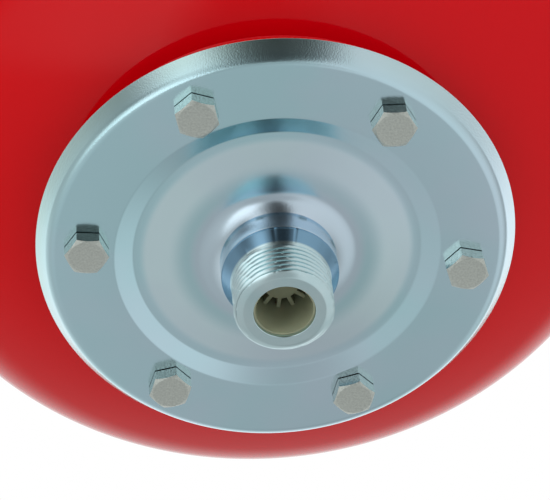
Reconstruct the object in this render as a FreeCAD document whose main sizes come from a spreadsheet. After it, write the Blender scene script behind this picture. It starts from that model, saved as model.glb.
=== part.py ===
"""Expansion vessel, 24 litres, with a replaceable membrane.

Millimetres, +Z up. The origin is on the vessel's axis at the shoulder where the
connection thread ends. The nozzle points down and the air valve is on top.
"""
import FreeCAD, Part
import math
import os
import re
import Sketcher

doc = FreeCAD.newDocument("ExpansionVessel")

# ---------------------------------------------------------------- sizes
SIZES = [
    # shell: two deep-drawn halves that meet in one seam round the barrel
    ("shell_diameter", 280, "outside diameter of the barrel"),
    ("shell_wall", 1.2, "sheet thickness of both halves"),
    ("crown_radius", 253, "outside radius of the middle of each head"),
    ("knuckle_radius", 47.6, "outside radius where a head turns into the barrel"),
    ("barrel_height", 304, "straight part between the two heads"),
    ("seam_height", 152, "seam above the start of the barrel"),
    ("lap_length", 10, "how far the lower half reaches into the upper one"),
    ("lap_clearance", 0.1, "radial gap in the lap"),
    ("seam_groove", 3, "open groove that the seam weld fills"),
    ("seam_toe", 1.5, "how far the weld lies over each edge of its groove"),
    ("seam_crown", 1.1, "how far the weld stands proud"),
    # ring that carries the counterflange
    ("ring_diameter", 142, "outside diameter of the flange ring"),
    ("ring_width", 25, "from the ring's edge to its bore"),
    ("ring_height", 16, "thickness of the flange ring"),
    ("ring_lead", 2.7, "how far the ring's seat stands out past the crown"),
    ("ring_edge", 0.8, "edge break of the ring"),
    ("ring_clearance", 0.1, "gap between the ring and the shell's opening"),
    ("ring_weld_leg", 3, "leg of the fillet weld round the ring"),
    # counterflange: one pressing
    ("plate_overhang", 10.3, "how far the counterflange reaches past the ring"),
    ("plate_wall", 2.5, "sheet thickness of the counterflange"),
    ("rim_round", 4.3, "outside radius of the bend that turns the rim back"),
    ("rim_tilt", 55, "slope of the rim from the flat, in degrees"),
    ("rim_depth", 6.5, "how far the rim reaches back"),
    ("step_depth", 1.8, "depth of the pressed step behind the flat"),
    ("step_margin", 2.7, "from the ring's bore out to the edge of the step's floor"),
    ("step_width", 6.3, "width of the slope from the step's floor up to the flat"),
    ("floor_width", 3.8, "width of the step's floor"),
    ("cone_width", 9.3, "width of the shallow cone inside the step's floor"),
    ("cone_rise", 1.3, "how far the cone stands out from the step's floor"),
    ("neck_fillet", 10.7, "radius of the fillet round the drawn neck"),
    ("neck_sweep", 43, "how far the fillet turns towards the neck, in degrees"),
    ("neck_height", 15, "from the flat to the inner end of the thread"),
    ("neck_rise", 10.5, "from the flat to the edge of the drawn neck"),
    ("neck_diameter", 39.4, "outside diameter of the drawn neck"),
    # nozzle: turned steel, 1 inch parallel pipe thread
    ("thread_diameter", 33.249, "major diameter of the pipe thread"),
    ("thread_pitch", 2.309, "pitch, 11 turns to the inch"),
    ("thread_depth", 1.479, "depth of the thread"),
    ("thread_root", 0.385, "width of the flat at the thread's root"),
    ("thread_half_angle", 27.5, "slope of the thread's flanks, in degrees"),
    ("thread_length", 15.1, "length of the threaded part"),
    ("thread_turns", 6, "number of turns cut"),
    ("thread_start", 0.6, "plain land before the first turn"),
    ("tip_chamfer_length", 1.2, "length of the chamfer at the nozzle's tip"),
    ("tip_face_diameter", 27.4, "outside diameter of the flat end face"),
    ("nozzle_bore", 20.4, "bore of the nozzle"),
    ("collar_land", 0.6, "straight edge of the nozzle's shoulder"),
    ("spigot_length", 7.5, "part of the nozzle inside the drawn neck"),
    ("spigot_clearance", 0.1, "gap between the spigot and the neck"),
    ("nozzle_weld_leg", 1.6, "leg of the fillet weld on the spigot's end"),
    # plastic insert that keeps the membrane out of the nozzle
    ("insert_clearance", 0.05, "gap between the insert and the nozzle's bore"),
    ("insert_wall", 0.6, "wall of the insert's tube"),
    ("insert_recess", 1.2, "how far the insert lies behind the nozzle's face"),
    ("insert_flange_diameter", 29, "diameter of the insert's inner flange"),
    ("insert_flange_height", 1.5, "thickness of the insert's inner flange"),
    ("spider_depth", 15.6, "from the nozzle's face to the insert's spokes"),
    ("spider_height", 4, "height of the spokes along the axis"),
    ("hub_diameter", 11.8, "diameter of the hub between the spokes"),
    ("hub_height", 2, "thickness of the hub"),
    ("spoke_width", 1.3, "width of one spoke"),
    ("spoke_count", 12, "number of spokes"),
    # bolts that hold the counterflange
    ("bolt_inset", 6.75, "from the ring's edge to the bolt circle"),
    ("bolt_count", 6, "number of bolts"),
    ("bolt_diameter", 8, "nominal diameter of a bolt"),
    ("bolt_length", 16, "length of a bolt under its head"),
    ("bolt_flats", 13, "width over the head's flats"),
    ("bolt_head", 5.3, "height of the head"),
    ("head_face", 12.2, "diameter of the head's flat face inside its chamfer"),
    ("head_slope", 30, "slope of the head's chamfer, in degrees"),
    ("bolt_end", 1, "chamfer at the bolt's end"),
    ("bolt_gap", 0.5, "gap round a bolt in the counterflange"),
    ("tapping_clearance", 0.05, "gap round a bolt in the flange ring"),
    ("tapping_depth", 12, "depth of the tapped holes"),
    # membrane: moulded rubber bag
    ("lip_inset", 6.25, "from the bolt circle to the edge of the clamped lip"),
    ("lip_thickness", 4, "thickness of the lip's bead"),
    ("neck_gap", 0.5, "gap between the bag's neck and the ring's bore"),
    ("membrane_wall", 2, "wall of the bag"),
    ("neck_run", 1.5, "straight neck past the flange ring"),
    ("bag_diameter", 230, "outside diameter of the bag"),
    ("bag_shoulder", 76, "outside radius of the bag's shoulder"),
    ("bag_height", 188, "straight part of the bag"),
    # air valve
    ("boss_diameter", 20, "outside diameter of the valve's boss"),
    ("boss_bore", 13.2, "bore of the boss"),
    ("boss_above", 4, "boss above the crown"),
    ("boss_below", 6, "boss below the crown"),
    ("boss_clearance", 0.1, "gap between the boss and the shell"),
    ("boss_weld_leg", 2.2, "leg of the fillet weld round the boss"),
    ("shank_clearance", 0.05, "gap between the valve and its boss"),
    ("shank_reach", 1, "valve shank past the boss"),
    ("washer_diameter", 19, "outside diameter of the sealing washer"),
    ("washer_thickness", 1.5, "thickness of the sealing washer"),
    ("valve_flats", 17, "width over the valve's hexagon"),
    ("valve_hexagon", 4.5, "height of the valve's hexagon"),
    ("stem_diameter", 7.7, "diameter of the valve's stem"),
    ("stem_length", 16, "length of the valve's stem"),
    ("stem_chamfer", 0.4, "chamfer at the stem's mouth"),
    ("core_bore", 5.3, "bore that takes the valve core"),
    ("core_bore_depth", 8, "depth of that bore"),
    ("seat_cone", 1, "length of the cone under the core's bore"),
    ("air_bore", 3.2, "bore below the cone"),
    ("core_recess", 0.8, "core's top below the stem's mouth"),
    ("core_clearance", 0.05, "gap round the core's barrel"),
    ("core_inner_bore", 3.4, "bore of the barrel round the spring"),
    ("core_floor", 0.6, "thickness of the barrel's floor"),
    ("sleeve_diameter", 2.6, "outside diameter of the core's sleeve"),
    ("sleeve_length", 5, "length of the core's sleeve"),
    ("core_seal_height", 1.4, "height of the ring that seals the core"),
    ("pin_diameter", 1.1, "diameter of the pin"),
    ("pin_clearance", 0.08, "gap round the pin"),
    ("pin_recess", 0.3, "pin's top below the stem's mouth"),
    ("pin_travel", 1.5, "how far the pin can be pressed"),
    ("cup_diameter", 2.4, "diameter of the cup at the pin's foot"),
    ("cup_height", 1.2, "height of that cup"),
    ("cup_seal_height", 0.4, "rubber face on that cup"),
    ("collar_diameter", 2.8, "diameter of the pin's spring collar"),
    ("collar_height", 0.5, "height of the pin's spring collar"),
    ("spring_diameter", 2.2, "mean diameter of the spring"),
    ("spring_wire", 0.3, "wire diameter of the spring"),
    ("spring_turns", 6, "turns of the spring"),
    ("cap_clearance", 0.1, "gap between the dust cap and the stem"),
    ("cap_wall", 1.25, "wall of the dust cap"),
    ("cap_top", 1.2, "thickness of the dust cap's top"),
    ("cap_engagement", 8, "how far the dust cap screws over the stem"),
    ("cap_seal_thickness", 1.2, "thickness of the disc in the dust cap"),
    ("cap_grip_count", 24, "number of grooves in the dust cap's grip"),
    ("cap_grip_depth", 0.3, "depth of those grooves"),
    # cover over the air valve
    ("cover_diameter", 52, "outside diameter of the cover"),
    ("cover_wall", 1.6, "wall of the cover"),
    ("cover_round", 3, "outside radius of the cover's top edge"),
    ("cover_headroom", 1.5, "room over the dust cap when it is screwed right off"),
    ("cover_rest", 0.3, "gap between the cover's edge and the shell"),
    ("grip_clearance", 0.1, "gap between the cover's ribs and the hexagon's corners"),
    ("grip_rib_width", 1.4, "width of one rib"),
    ("grip_rib_rise", 6, "how far the ribs reach above the hexagon"),
    ("grip_rib_count", 6, "number of ribs, one for each corner of the hexagon"),
    # blank rating plate
    ("label_width", 90, "width of the rating plate, along the barrel"),
    ("label_height", 60, "height of the rating plate"),
    ("label_thickness", 0.3, "thickness of the rating plate"),
    ("label_glue", 0.2, "thickness of the glue under the rating plate"),
    ("label_low", 190, "rating plate's lower edge above the start of the barrel"),
]

sheet = doc.addObject("Spreadsheet::Sheet", "Sizes")
for row, (alias, value, meaning) in enumerate(SIZES, start=1):
    sheet.set(f"A{row}", alias)
    sheet.set(f"B{row}", str(value))
    sheet.set(f"C{row}", meaning)
    sheet.setAlias(f"B{row}", alias)
doc.recompute()

FULL_TURN = 360


# ---------------------------------------------------------------- helpers
def sized(text):
    """Turn a formula in the sheet's words into an expression FreeCAD can bind."""
    return re.sub(r"\b([a-z]+(?:_[a-z]+)+)\b", r"Sizes.\1", f"({text})")


def worth(text):
    """The present value of a formula, for the first shape of a sketch."""
    return float(sheet.evalExpression(sized(text)))


pieces = []


def new_piece(label, height="0"):
    """A body with its own label, placed at a height on the vessel's axis."""
    body = doc.addObject("PartDesign::Body", label)
    body.Label = label
    body.setExpression("Placement.Base.z", sized(height))
    pieces.append(body)
    return body


def origin_feature(body, role):
    return next(f for f in body.Origin.OriginFeatures if f.Role == role)


def sketch_on(body, plane, height="0"):
    """A sketch on one of the body's own planes, lifted along that plane's normal."""
    sketch = body.newObject("Sketcher::SketchObject", f"{body.Label}_sketch")
    sketch.AttachmentSupport = [(origin_feature(body, plane), "")]
    sketch.MapMode = "FlatFace"
    sketch.setExpression("AttachmentOffset.Base.z", sized(height))
    return sketch


def bind(sketch, constraint, formula):
    index = sketch.addConstraint(constraint)
    sketch.setExpression(f"Constraints[{index}]", sized(formula))


def arc_between(start, end, radius, side):
    """Arc shorter than a half circle, and whether it starts at the given start.

    With side 1 it bulges to the left of the way from start to end, with -1 to the right.
    """
    run = end - start
    half = run.Length / 2
    rise = math.sqrt(max(radius ** 2 - half ** 2, 0))
    left = FreeCAD.Vector(-run.y, run.x, 0).normalize()
    centre = start + run * 0.5 - left * (side * rise)
    first = math.atan2(start.y - centre.y, start.x - centre.x)
    last = math.atan2(end.y - centre.y, end.x - centre.x)
    circle = Part.Circle(centre, FreeCAD.Vector(0, 0, 1), radius)
    if side > 0:
        return Part.ArcOfCircle(circle, last, first), False
    return Part.ArcOfCircle(circle, first, last), True


def draw_outline(sketch, outline):
    """Closed outline. Each point is (across, up), or (across, up, radius, side)
    where an arc leads to that point, and every number is bound to the sheet."""
    corners = [FreeCAD.Vector(worth(p[0]), worth(p[1]), 0) for p in outline]
    heads = []
    for number, point in enumerate(outline):
        start, end = corners[number - 1], corners[number]
        if len(point) == 2:
            edge = sketch.addGeometry(Part.LineSegment(start, end), False)
            heads.append((edge, 1, 2))
            continue
        arc, forward = arc_between(start, end, worth(point[2]), point[3])
        edge = sketch.addGeometry(arc, False)
        heads.append((edge, 1, 2) if forward else (edge, 2, 1))
    for number, point in enumerate(outline):
        edge, _, end = heads[number]
        following, start, _ = heads[(number + 1) % len(outline)]
        sketch.addConstraint(Sketcher.Constraint("Coincident", edge, end, following, start))
        corner = corners[number]
        bind(sketch, Sketcher.Constraint("DistanceX", -1, 1, edge, end, corner.x), point[0])
        bind(sketch, Sketcher.Constraint("DistanceY", -1, 1, edge, end, corner.y), point[1])
        if len(point) == 4:
            bind(sketch, Sketcher.Constraint("Radius", edge, worth(point[2])), point[2])


def turning_axis(sketch, across):
    """The vessel's axis, or a line beside it at the given distance."""
    if across is None:
        return (sketch, ["V_Axis"])
    foot = FreeCAD.Vector(worth(across), 0, 0)
    edge = sketch.addGeometry(Part.LineSegment(foot, foot + FreeCAD.Vector(0, 1, 0)), True)
    sketch.addConstraint(Sketcher.Constraint("Vertical", edge))
    sketch.addConstraint(Sketcher.Constraint("PointOnObject", edge, 1, -1))
    sketch.addConstraint(Sketcher.Constraint("DistanceY", edge, 1, edge, 2, 1))
    bind(sketch, Sketcher.Constraint("DistanceX", -1, 1, edge, 1, foot.x), across)
    return (sketch, ["Axis0"])


def turned(body, outline, angle=None, across=None, cut=False):
    """Material turned from an outline of (radius, height), or a groove turned out."""
    sketch = sketch_on(body, "XZ_Plane")
    draw_outline(sketch, outline)
    kind = "PartDesign::Groove" if cut else "PartDesign::Revolution"
    feature = body.newObject(kind, f"{body.Label}_turned")
    feature.Profile = sketch
    feature.ReferenceAxis = turning_axis(sketch, across)
    feature.Angle = FULL_TURN
    if angle is not None:
        feature.Midplane = True
        feature.setExpression("Angle", sized(angle))
    return feature


def upright(body, draw, low, height, cut=False):
    """A prism standing at a height: draw puts its outline in the sketch."""
    sketch = sketch_on(body, "XY_Plane", low)
    draw(sketch)
    kind = "PartDesign::Pocket" if cut else "PartDesign::Pad"
    feature = body.newObject(kind, f"{body.Label}_prism")
    feature.Profile = sketch
    feature.setExpression("Length", sized(height))
    feature.Reversed = cut
    return feature


def circle_at(across, radius):
    """A round outline with its centre that far out along X."""
    def draw(sketch):
        centre = FreeCAD.Vector(worth(across), 0, 0)
        up = FreeCAD.Vector(0, 0, 1)
        edge = sketch.addGeometry(Part.Circle(centre, up, worth(radius)), False)
        bind(sketch, Sketcher.Constraint("Radius", edge, worth(radius)), radius)
        bind(sketch, Sketcher.Constraint("DistanceX", -1, 1, edge, 3, centre.x), across)
        sketch.addConstraint(Sketcher.Constraint("PointOnObject", edge, 3, -1))
    return draw


def hexagon_at(across, flats):
    """A hexagon with that width over its flats and its centre that far out along X."""
    def draw(sketch):
        corners = []
        for degrees in range(0, FULL_TURN, 60):
            corners.append((
                f"{across} + {flats} / sqrt(3) * cos({degrees} deg)",
                f"{flats} / sqrt(3) * sin({degrees} deg)",
            ))
        draw_outline(sketch, corners)
    return draw


def all_round(body, features, count):
    """Repeat features evenly round the body's axis."""
    pattern = body.newObject("PartDesign::PolarPattern", f"{body.Label}_pattern")
    pattern.Originals = features
    pattern.Axis = (origin_feature(body, "Z_Axis"), [""])
    pattern.Angle = FULL_TURN
    pattern.setExpression("Occurrences", sized(count))
    body.Tip = pattern
    return pattern


# ---------------------------------------------------------------- shared levels
FLAT = "neck_height"
SEAT = f"({FLAT} + plate_wall + lip_thickness)"
POLE = f"({SEAT} + ring_lead)"
OUTER = "(shell_diameter / 2)"
INNER = f"({OUTER} - shell_wall)"
# height of a head: crown and knuckle arcs meet in a common tangent
HEAD_DEPTH = (
    "(crown_radius - sqrt((crown_radius - knuckle_radius)^2"
    f" - ({OUTER} - knuckle_radius)^2))"
)
BARREL_LOW = f"({POLE} + {HEAD_DEPTH})"
BARREL_HIGH = f"({BARREL_LOW} + barrel_height)"
TOP = f"({BARREL_HIGH} + {HEAD_DEPTH})"
SEAM = f"({BARREL_LOW} + seam_height)"
RING_OUT = "(ring_diameter / 2)"
RING_IN = f"({RING_OUT} - ring_width)"
BOLT_CIRCLE = f"({RING_OUT} - bolt_inset)"


def crown_drop(radius, wall="0"):
    """How far a head's surface lies behind its own pole at a radius."""
    return f"(crown_radius - sqrt((crown_radius - {wall})^2 - ({radius})^2))"


def knuckle_joint(wall="0"):
    """Radius and drop of the point where the crown arc turns into the knuckle arc."""
    reach = f"(crown_radius - {wall})"
    span = "(crown_radius - knuckle_radius)"
    radius = f"({reach} * ({OUTER} - knuckle_radius) / {span})"
    drop = f"(crown_radius - {reach} * (crown_radius - {HEAD_DEPTH}) / {span})"
    return radius, drop


# ---------------------------------------------------------------- shell
def make_lower_shell():
    """Lower half: head with the opening for the ring, and a necked-in lap."""
    body = new_piece("lower_shell")
    opening = f"({RING_OUT} + ring_clearance)"
    outer_joint, outer_drop = knuckle_joint()
    inner_joint, inner_drop = knuckle_joint("shell_wall")
    lap = f"({INNER} - lap_clearance)"
    bend = "(shell_wall + lap_clearance)"
    turned(body, [
        (opening, f"{POLE} + {crown_drop(opening)}"),
        (outer_joint, f"{POLE} + {outer_drop}", "crown_radius", -1),
        (OUTER, BARREL_LOW, "knuckle_radius", -1),
        (OUTER, SEAM),
        (lap, f"{SEAM} + {bend}"),
        (lap, f"{SEAM} + seam_groove + lap_length"),
        (f"{lap} - shell_wall", f"{SEAM} + seam_groove + lap_length"),
        (f"{lap} - shell_wall", f"{SEAM} + {bend}"),
        (INNER, SEAM),
        (INNER, BARREL_LOW),
        (inner_joint, f"{POLE} + {inner_drop}", "knuckle_radius - shell_wall", 1),
        (opening, f"{POLE} + {crown_drop(opening, 'shell_wall')}", "crown_radius - shell_wall", 1),
    ])


def make_upper_shell():
    """Upper half: slides over the lap, with a hole for the valve's boss on top."""
    body = new_piece("upper_shell")
    edge = f"{SEAM} + seam_groove"
    hole = "(boss_diameter / 2 + boss_clearance)"
    outer_joint, outer_drop = knuckle_joint()
    inner_joint, inner_drop = knuckle_joint("shell_wall")
    turned(body, [
        (INNER, edge),
        (OUTER, edge),
        (OUTER, BARREL_HIGH),
        (outer_joint, f"{TOP} - {outer_drop}", "knuckle_radius", -1),
        (hole, f"{TOP} - {crown_drop(hole)}", "crown_radius", -1),
        (hole, f"{TOP} - {crown_drop(hole, 'shell_wall')}"),
        (inner_joint, f"{TOP} - {inner_drop}", "crown_radius - shell_wall", 1),
        (INNER, BARREL_HIGH, "knuckle_radius - shell_wall", 1),
    ])


def make_seam_weld():
    """Weld bead that fills the groove between the halves."""
    body = new_piece("seam_weld")
    lap = f"({INNER} - lap_clearance)"
    low = f"({SEAM} - seam_toe)"
    high = f"({SEAM} + seam_groove + seam_toe)"
    half = f"(({high} - {low}) / 2)"
    turned(body, [
        (OUTER, low),
        (OUTER, high, f"({half}^2 + seam_crown^2) / (2 * seam_crown)", -1),
        (OUTER, f"{SEAM} + seam_groove"),
        (lap, f"{SEAM} + seam_groove"),
        (lap, f"{SEAM} + shell_wall + lap_clearance"),
        (OUTER, SEAM),
    ])


# ---------------------------------------------------------------- flange ring
def make_flange_ring():
    """Thick steel ring in the shell's opening, with blind tapped holes."""
    body = new_piece("flange_ring")
    back = f"({SEAT} + ring_height)"
    turned(body, [
        (RING_IN, f"{SEAT} + ring_edge"),
        (f"{RING_IN} + ring_edge", SEAT),
        (f"{RING_OUT} - ring_edge", SEAT),
        (RING_OUT, f"{SEAT} + ring_edge"),
        (RING_OUT, back),
        (RING_IN, back),
    ])
    hole = upright(
        body,
        circle_at(BOLT_CIRCLE, "bolt_diameter / 2 + tapping_clearance"),
        SEAT, "tapping_depth", cut=True,
    )
    all_round(body, [hole], "bolt_count")


def make_ring_weld():
    """Fillet weld between the ring and the shell."""
    body = new_piece("ring_weld")
    opening = f"({RING_OUT} + ring_clearance)"
    toe = f"({RING_OUT} + ring_weld_leg)"
    corner = f"({POLE} + {crown_drop(opening)})"
    turned(body, [
        (RING_OUT, corner),
        (RING_OUT, f"{corner} - ring_weld_leg"),
        (toe, f"{POLE} + {crown_drop(toe)}", "2 * ring_weld_leg", 1),
        (opening, corner, "crown_radius", 1),
    ])


# ---------------------------------------------------------------- counterflange
NECK_OUT = "(neck_diameter / 2)"
NECK_EDGE = f"({FLAT} - neck_rise)"
FLOOR = f"({FLAT} + step_depth)"
LAND = f"({FLOOR} - cone_rise)"
# the fillet starts level on the land and meets the upright neck at a knee
NECK_FOOT = f"({NECK_OUT} + neck_fillet * sin(neck_sweep))"
NECK_KNEE = f"({LAND} - neck_fillet * (1 - cos(neck_sweep)))"
NECK_IN = f"({NECK_OUT} - plate_wall)"
FILLET_INSIDE = "(neck_fillet + plate_wall)"
KNEE_INSIDE = f"({LAND} - neck_fillet + sqrt({FILLET_INSIDE}^2 - ({NECK_FOOT} - {NECK_IN})^2))"
FLOOR_OUT = f"({RING_IN} + step_margin)"
FLAT_IN = f"({FLOOR_OUT} + step_width)"


def make_counter_flange():
    """Pressed cover plate: turned back rim, flat, step, cone, land and drawn neck."""
    body = new_piece("counter_flange")
    rim = f"({RING_OUT} + plate_overhang)"
    rim_end = f"({FLAT} + rim_depth)"
    bend_rise = "(rim_round * (1 - cos(rim_tilt)))"
    bend_out = f"({rim} - (rim_depth - {bend_rise}) / tan(rim_tilt))"
    flat_out = f"({bend_out} - rim_round * sin(rim_tilt))"
    bend_inside = "(rim_round - plate_wall)"
    cone_out = f"({FLOOR_OUT} - floor_width)"
    cone_in = f"({cone_out} - cone_width)"
    turned(body, [
        (NECK_OUT, NECK_EDGE),
        (NECK_OUT, NECK_KNEE),
        (NECK_FOOT, LAND, "neck_fillet", 1),
        (cone_in, LAND),
        (cone_out, FLOOR),
        (FLOOR_OUT, FLOOR),
        (FLAT_IN, FLAT),
        (flat_out, FLAT),
        (bend_out, f"{FLAT} + {bend_rise}", "rim_round", -1),
        (rim, rim_end),
        (f"{rim} - plate_wall / sin(rim_tilt)", rim_end),
        (
            f"{flat_out} + {bend_inside} * sin(rim_tilt)",
            f"{FLAT} + rim_round - {bend_inside} * cos(rim_tilt)",
        ),
        (flat_out, f"{FLAT} + plate_wall", bend_inside, 1),
        (FLAT_IN, f"{FLAT} + plate_wall"),
        (FLOOR_OUT, f"{FLOOR} + plate_wall"),
        (cone_out, f"{FLOOR} + plate_wall"),
        (cone_in, f"{LAND} + plate_wall"),
        (NECK_FOOT, f"{LAND} + plate_wall"),
        (NECK_IN, KNEE_INSIDE, FILLET_INSIDE, -1),
        (NECK_IN, NECK_EDGE),
    ])
    hole = upright(
        body,
        circle_at(BOLT_CIRCLE, "bolt_diameter / 2 + bolt_gap"),
        FLAT, "plate_wall", cut=True,
    )
    all_round(body, [hole], "bolt_count")


# ---------------------------------------------------------------- nozzle
TIP = "(-(thread_length + tip_chamfer_length))"
SPIGOT_END = f"({NECK_EDGE} + spigot_length)"
SPIGOT = f"({NECK_IN} - spigot_clearance)"


def make_nozzle():
    """Turned nozzle: thread, chamfered tip, flared shoulder and spigot."""
    body = new_piece("threaded_nozzle")
    crest = "(thread_diameter / 2)"
    bore = "(nozzle_bore / 2)"
    flare_rise = f"({NECK_EDGE} - collar_land)"
    turned(body, [
        (bore, TIP),
        ("tip_face_diameter / 2", TIP),
        (crest, "-thread_length"),
        (crest, "0"),
        (NECK_OUT, flare_rise),
        (NECK_OUT, NECK_EDGE),
        (SPIGOT, NECK_EDGE),
        (SPIGOT, SPIGOT_END),
        (bore, SPIGOT_END),
    ])
    # one V groove, repeated down the thread
    half_root = "(thread_root / 2)"
    half_mouth = f"({half_root} + thread_depth * tan(thread_half_angle))"
    middle = f"(-thread_start - {half_mouth})"
    groove = turned(body, [
        (f"{crest} - thread_depth", f"{middle} + {half_root}"),
        (crest, f"{middle} + {half_mouth}"),
        (f"{crest} + thread_depth", f"{middle} + {half_mouth}"),
        (f"{crest} + thread_depth", f"{middle} - {half_mouth}"),
        (crest, f"{middle} - {half_mouth}"),
        (f"{crest} - thread_depth", f"{middle} - {half_root}"),
    ], cut=True)
    pattern = body.newObject("PartDesign::LinearPattern", "thread_grooves")
    pattern.Originals = [groove]
    pattern.Direction = (origin_feature(body, "Z_Axis"), [""])
    pattern.Reversed = True
    pattern.setExpression("Length", sized("thread_pitch * (thread_turns - 1)"))
    pattern.setExpression("Occurrences", sized("thread_turns"))
    body.Tip = pattern


def make_nozzle_weld():
    """Fillet weld between the spigot's end and the wall of the drawn neck."""
    body = new_piece("nozzle_weld")
    turned(body, [
        (f"{NECK_IN} - nozzle_weld_leg", SPIGOT_END),
        (NECK_IN, SPIGOT_END),
        (NECK_IN, f"{SPIGOT_END} + nozzle_weld_leg"),
    ])


def make_nozzle_insert():
    """Moulded insert: tube with an inner flange, and a hub on spokes across it."""
    body = new_piece("nozzle_insert")
    outer = "(nozzle_bore / 2 - insert_clearance)"
    inner = f"({outer} - insert_wall)"
    spider = f"({TIP} + spider_depth)"
    turned(body, [
        (inner, f"{TIP} + insert_recess"),
        (outer, f"{TIP} + insert_recess"),
        (outer, SPIGOT_END),
        ("insert_flange_diameter / 2", SPIGOT_END),
        ("insert_flange_diameter / 2", f"{SPIGOT_END} + insert_flange_height"),
        (inner, f"{SPIGOT_END} + insert_flange_height"),
    ])
    overlap = "(insert_wall / 2)"

    def spoke_outline(sketch):
        draw_outline(sketch, [
            ("hub_diameter / 4", "-spoke_width / 2"),
            (f"{inner} + {overlap}", "-spoke_width / 2"),
            (f"{inner} + {overlap}", "spoke_width / 2"),
            ("hub_diameter / 4", "spoke_width / 2"),
        ])

    spoke = upright(body, spoke_outline, spider, "spider_height")
    all_round(body, [spoke], "spoke_count")
    upright(body, circle_at("0", "hub_diameter / 2"), spider, "hub_height")


# ---------------------------------------------------------------- bolts
def make_flange_bolts():
    """Hexagon bolts, each a solid of its own, evenly round the bolt circle."""
    body = new_piece("flange_bolts")
    middle = BOLT_CIRCLE
    face = f"({FLAT} - bolt_head)"
    corner = "(bolt_flats / sqrt(3))"
    chamfer = f"(({corner} - head_face / 2) * tan(head_slope))"
    end = f"({FLAT} + bolt_length)"
    head = upright(body, hexagon_at(middle, "bolt_flats"), face, "bolt_head")
    # a cone round the bolt's own axis takes the corners off the head's face
    trimmed = turned(body, [
        (f"{middle} + head_face / 2", face),
        (f"{middle} + {corner}", f"{face} + {chamfer}"),
        (f"{middle} + {corner} + {chamfer}", f"{face} + {chamfer}"),
        (f"{middle} + {corner} + {chamfer}", face),
    ], across=middle, cut=True)
    shank = turned(body, [
        (middle, FLAT),
        (f"{middle} + bolt_diameter / 2", FLAT),
        (f"{middle} + bolt_diameter / 2", f"{end} - bolt_end"),
        (f"{middle} + bolt_diameter / 2 - bolt_end", end),
        (middle, end),
    ], across=middle)
    all_round(body, [head, trimmed, shank], "bolt_count")


# ---------------------------------------------------------------- membrane
def make_membrane():
    """Rubber bag that holds the water, with a bead lip clamped under the counterflange."""
    body = new_piece("membrane")
    lip = f"({BOLT_CIRCLE} - lip_inset)"
    neck_out = f"({RING_IN} - neck_gap)"
    neck_in = f"({neck_out} - membrane_wall)"
    bag_out = "(bag_diameter / 2)"
    bag_in = f"({bag_out} - membrane_wall)"
    centre_across = f"({bag_out} - bag_shoulder)"
    neck_end = f"({SEAT} + ring_height + neck_run)"
    shoulder_drop = f"sqrt(bag_shoulder^2 - ({neck_out} - {centre_across})^2)"
    bag_low = f"({neck_end} + {shoulder_drop})"
    inside_drop = f"sqrt((bag_shoulder - membrane_wall)^2 - ({neck_in} - {centre_across})^2)"
    bag_high = f"({bag_low} + bag_height)"
    turned(body, [
        (neck_in, f"{FLOOR} + plate_wall"),
        (FLOOR_OUT, f"{FLOOR} + plate_wall"),
        (FLAT_IN, f"{FLAT} + plate_wall"),
        (lip, f"{FLAT} + plate_wall"),
        (lip, SEAT),
        (neck_out, SEAT),
        (neck_out, neck_end),
        (bag_out, bag_low, "bag_shoulder", -1),
        (bag_out, bag_high),
        ("0", f"{bag_high} + {bag_out}", bag_out, -1),
        ("0", f"{bag_high} + {bag_in}"),
        (bag_in, bag_high, bag_in, 1),
        (bag_in, bag_low),
        (neck_in, f"{bag_low} - {inside_drop}", "bag_shoulder - membrane_wall", 1),
    ])


# ---------------------------------------------------------------- air valve
# heights of the air valve's pieces are measured from the shell's top
STEM_FOOT = "(boss_above + washer_thickness + valve_hexagon)"
MOUTH = f"({STEM_FOOT} + stem_length)"
CORE_TOP = f"({MOUTH} - core_recess)"
BARREL_FOOT = f"({MOUTH} - core_bore_depth)"
SLEEVE_FOOT = f"({BARREL_FOOT} - sleeve_length)"
PIN_BORE = "(pin_diameter / 2 + pin_clearance)"


def make_valve_boss():
    """Welded steel boss with a bore for the valve's shank."""
    body = new_piece("valve_boss", TOP)
    turned(body, [
        ("boss_bore / 2", "-boss_below"),
        ("boss_diameter / 2", "-boss_below"),
        ("boss_diameter / 2", "boss_above"),
        ("boss_bore / 2", "boss_above"),
    ])


def make_boss_weld():
    """Fillet weld round the boss on the outside of the shell."""
    body = new_piece("valve_boss_weld", TOP)
    outer = "(boss_diameter / 2)"
    hole = f"({outer} + boss_clearance)"
    toe = f"({outer} + boss_weld_leg)"
    corner = f"(-{crown_drop(hole)})"
    turned(body, [
        (outer, corner),
        (hole, corner),
        (toe, f"-{crown_drop(toe)}", "crown_radius", 1),
        (outer, f"{corner} + boss_weld_leg", "2 * boss_weld_leg", 1),
    ])


def make_valve_washer():
    """Flat sealing washer between the boss and the valve's hexagon."""
    body = new_piece("valve_washer", TOP)
    inner = "(boss_bore / 2)"
    turned(body, [
        (inner, "boss_above"),
        ("washer_diameter / 2", "boss_above"),
        ("washer_diameter / 2", "boss_above + washer_thickness"),
        (inner, "boss_above + washer_thickness"),
    ])


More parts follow.
